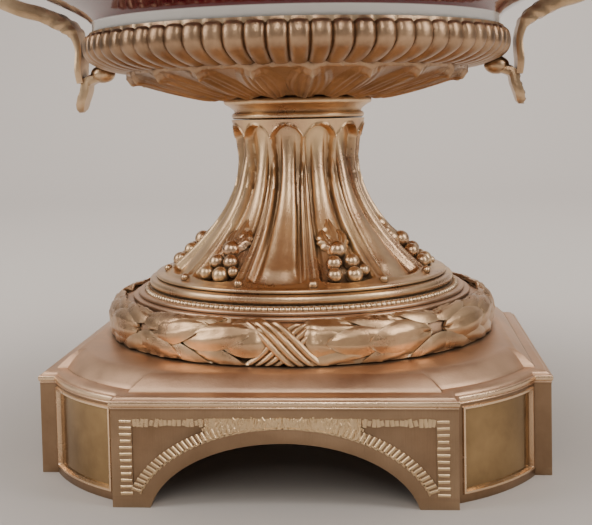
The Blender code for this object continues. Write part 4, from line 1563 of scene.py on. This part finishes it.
# %% Handles
BOSS_RADIUS = 0.0049
BOSS_HALF_HEIGHT = 0.0036
BOSS_PLACE = (CUP_RADIUS - BOSS_INSET, 0, CUP_TOP - 0.0146)


def boss():
    dome = sphere(BOSS_RADIUS, 32, 18, BOSS_PLACE)
    dome.scale.z = BOSS_HALF_HEIGHT / BOSS_RADIUS
    only(dome)
    bpy.ops.object.transform_apply(location=True, rotation=True, scale=True)
    return dome


def half_turn(points):
    x, y = turned(points[:, 0], points[:, 1], math.pi)
    return np.stack([x, y, points[:, 2]], axis=1)


def handle(name, side, node):
    strap_line = smooth_line(strap_points(), STRAP_STEPS)
    tongue_line = smooth_line(tongue_points(), TONGUE_STEPS)[::-1]
    strap = lofted(name, rings_along(strap_line, strap_relief))
    tongue = lofted(name + "_tongue", rings_along(tongue_line, tongue_relief))
    piece = joined(name, [strap, tongue, boss()])
    if side < 0:
        reshape(piece, half_turn)
    only(piece)
    bpy.ops.object.mode_set(mode="EDIT")
    face_out()
    return settle(piece, handle_gilt, [node], angle=50)


handle("strap_handle_right", 1, "handle_right")
handle("strap_handle_left", -1, "handle_left")

# %% [markdown]
# ## Floor, light and camera
#
# The piece stands on a plain pale floor that curves up into a backdrop. Metal shows what is
# around it, so the room matters: it is dim low down and brighter overhead, and soft lights
# above, in front and at both sides give the long, smooth highlights of polished bronze.
# The camera stands where the photograph was taken from, a little above the plinth and close.

# %% Floor and backdrop
def plain_matt(name, colour, roughness):
    material, _, _, shader = new_material(name)
    shader.inputs["Base Color"].default_value = (*colour, 1.0)
    shader.inputs["Roughness"].default_value = roughness
    return material


FLOOR_TONE = (0.43, 0.395, 0.365)
WALL_TONE = (0.61, 0.565, 0.53)
WALL_FROM, WALL_TO = 0.2, 1.7
FLOOR_HALF = 1.6
BEND_FROM = 1.1
BEND_RADIUS = 0.7
BEND_STEPS = 12
WALL_HEIGHT = 2.6


def backdrop_matt():
    """Darker on the floor, paler on the wall, with a slow change between."""
    material = plain_matt("pale_backdrop", FLOOR_TONE, 0.7)
    add, link = link_nodes(material)
    parts = add("ShaderNodeSeparateXYZ")
    link(add("ShaderNodeTexCoord").outputs["Object"], parts.inputs["Vector"])
    share = ranged(add, link, parts.outputs["Y"], (WALL_FROM, WALL_TO), (0.0, 1.0))
    tones = shaded(add, link, share, [(0.0, FLOOR_TONE), (1.0, WALL_TONE)])
    link(tones, material.node_tree.nodes["Principled BSDF"].inputs["Base Color"])
    return material


def sweep():
    profile = [(0.0, -FLOOR_HALF, 0.0), (0.0, BEND_FROM, 0.0)]
    for i in range(1, BEND_STEPS + 1):
        angle = math.pi / 2 * i / BEND_STEPS
        y = BEND_FROM + BEND_RADIUS * math.sin(angle)
        profile.append((0.0, y, BEND_RADIUS * (1 - math.cos(angle))))
    profile.append((0.0, BEND_FROM + BEND_RADIUS, WALL_HEIGHT))
    floor = trace("floor", profile)
    bpy.ops.mesh.extrude_region_move(TRANSFORM_OT_translate={"value": (2 * FLOOR_HALF, 0, 0)})
    bpy.ops.mesh.select_all(action="SELECT")
    bpy.ops.transform.translate(value=(-FLOOR_HALF, 0, 0))
    face_out()
    only(floor)
    bpy.ops.object.shade_smooth()
    floor.data.materials.append(backdrop_matt())


sweep()


# %% Lights
def area(name, place, target, size, power, colour=(1, 1, 1)):
    light = bpy.data.lights.new(name, "AREA")
    light.shape = "RECTANGLE"
    light.size, light.size_y = size
    light.energy = power
    light.color = colour
    lamp = bpy.data.objects.new(name, light)
    lamp.location = place
    aim = Vector(target) - Vector(place)
    lamp.rotation_euler = aim.to_track_quat("-Z", "Y").to_euler()
    bpy.context.scene.collection.objects.link(lamp)


area("overhead", (0.0, -0.10, 1.25), (0, 0, 0.1), (1.2, 0.7), 18, (1.0, 0.97, 0.94))
area("high_front", (0.05, -1.35, 1.05), (0, 0, 0.1), (0.35, 0.9), 7, (1.0, 0.96, 0.90))
area("left_window", (-1.15, -0.45, 0.65), (0, 0, 0.12), (0.5, 0.9), 6, (1.0, 0.97, 0.94))
area("right_window", (1.1, -0.45, 0.70), (0, 0, 0.12), (0.4, 0.9), 6, (1.0, 0.97, 0.93))
area("wall_wash", (0.0, 0.75, 1.7), (0, 1.7, 0.5), (2.0, 0.4), 14, (1.0, 0.965, 0.94))


# %% Room
# Height of the view direction, then the room's brightness there
ROOM = ((0.0, 0.06), (0.5, 0.12), (0.62, 0.30), (0.85, 0.62), (1.0, 0.75))
ROOM_TINT = (1.0, 0.965, 0.93)


def soft_room():
    world = bpy.data.worlds.new("soft_room")
    world.use_nodes = True
    add, link = link_nodes(world)
    parts = add("ShaderNodeSeparateXYZ")
    link(add("ShaderNodeTexCoord").outputs["Generated"], parts.inputs["Vector"])
    height = ranged(add, link, parts.outputs["Z"], (-1.0, 1.0), (0.0, 1.0))
    stops = [(place, tuple(level * tint for tint in ROOM_TINT)) for place, level in ROOM]
    link(shaded(add, link, height, stops), world.node_tree.nodes["Background"].inputs["Color"])
    bpy.context.scene.world = world


soft_room()

# %% Camera
EYE = (0.03398, -0.43355, 0.12810)
YAW, PITCH, ROLL = 0.0810, -0.0554, -0.0207
FRAME_WIDTH, FRAME_HEIGHT = 592, 525
FOCAL_PIXELS = 1094.87
HORIZON_CENTRE = 170


def stand_camera():
    camera = bpy.data.cameras.new("photo_camera")
    camera.sensor_width = 36.0
    camera.lens = FOCAL_PIXELS / FRAME_WIDTH * camera.sensor_width
    camera.shift_y = -(FRAME_HEIGHT / 2 - HORIZON_CENTRE) / FRAME_WIDTH
    camera.clip_start = 0.01
    body = bpy.data.objects.new("photo_camera", camera)
    right = Vector((math.cos(YAW), math.sin(YAW), 0.0))
    forward = Vector((-math.sin(YAW) * math.cos(PITCH), math.cos(YAW) * math.cos(PITCH), math.sin(PITCH)))
    up = right.cross(forward)
    right_rolled = right * math.cos(ROLL) + up * math.sin(ROLL)
    up_rolled = up * math.cos(ROLL) - right * math.sin(ROLL)
    turn = Matrix((right_rolled, up_rolled, -forward)).transposed()
    body.matrix_world = Matrix.Translation(EYE) @ turn.to_4x4()
    bpy.context.scene.collection.objects.link(body)
    bpy.context.scene.camera = body
    print("camera at", EYE, "lens", round(camera.lens, 1))


stand_camera()
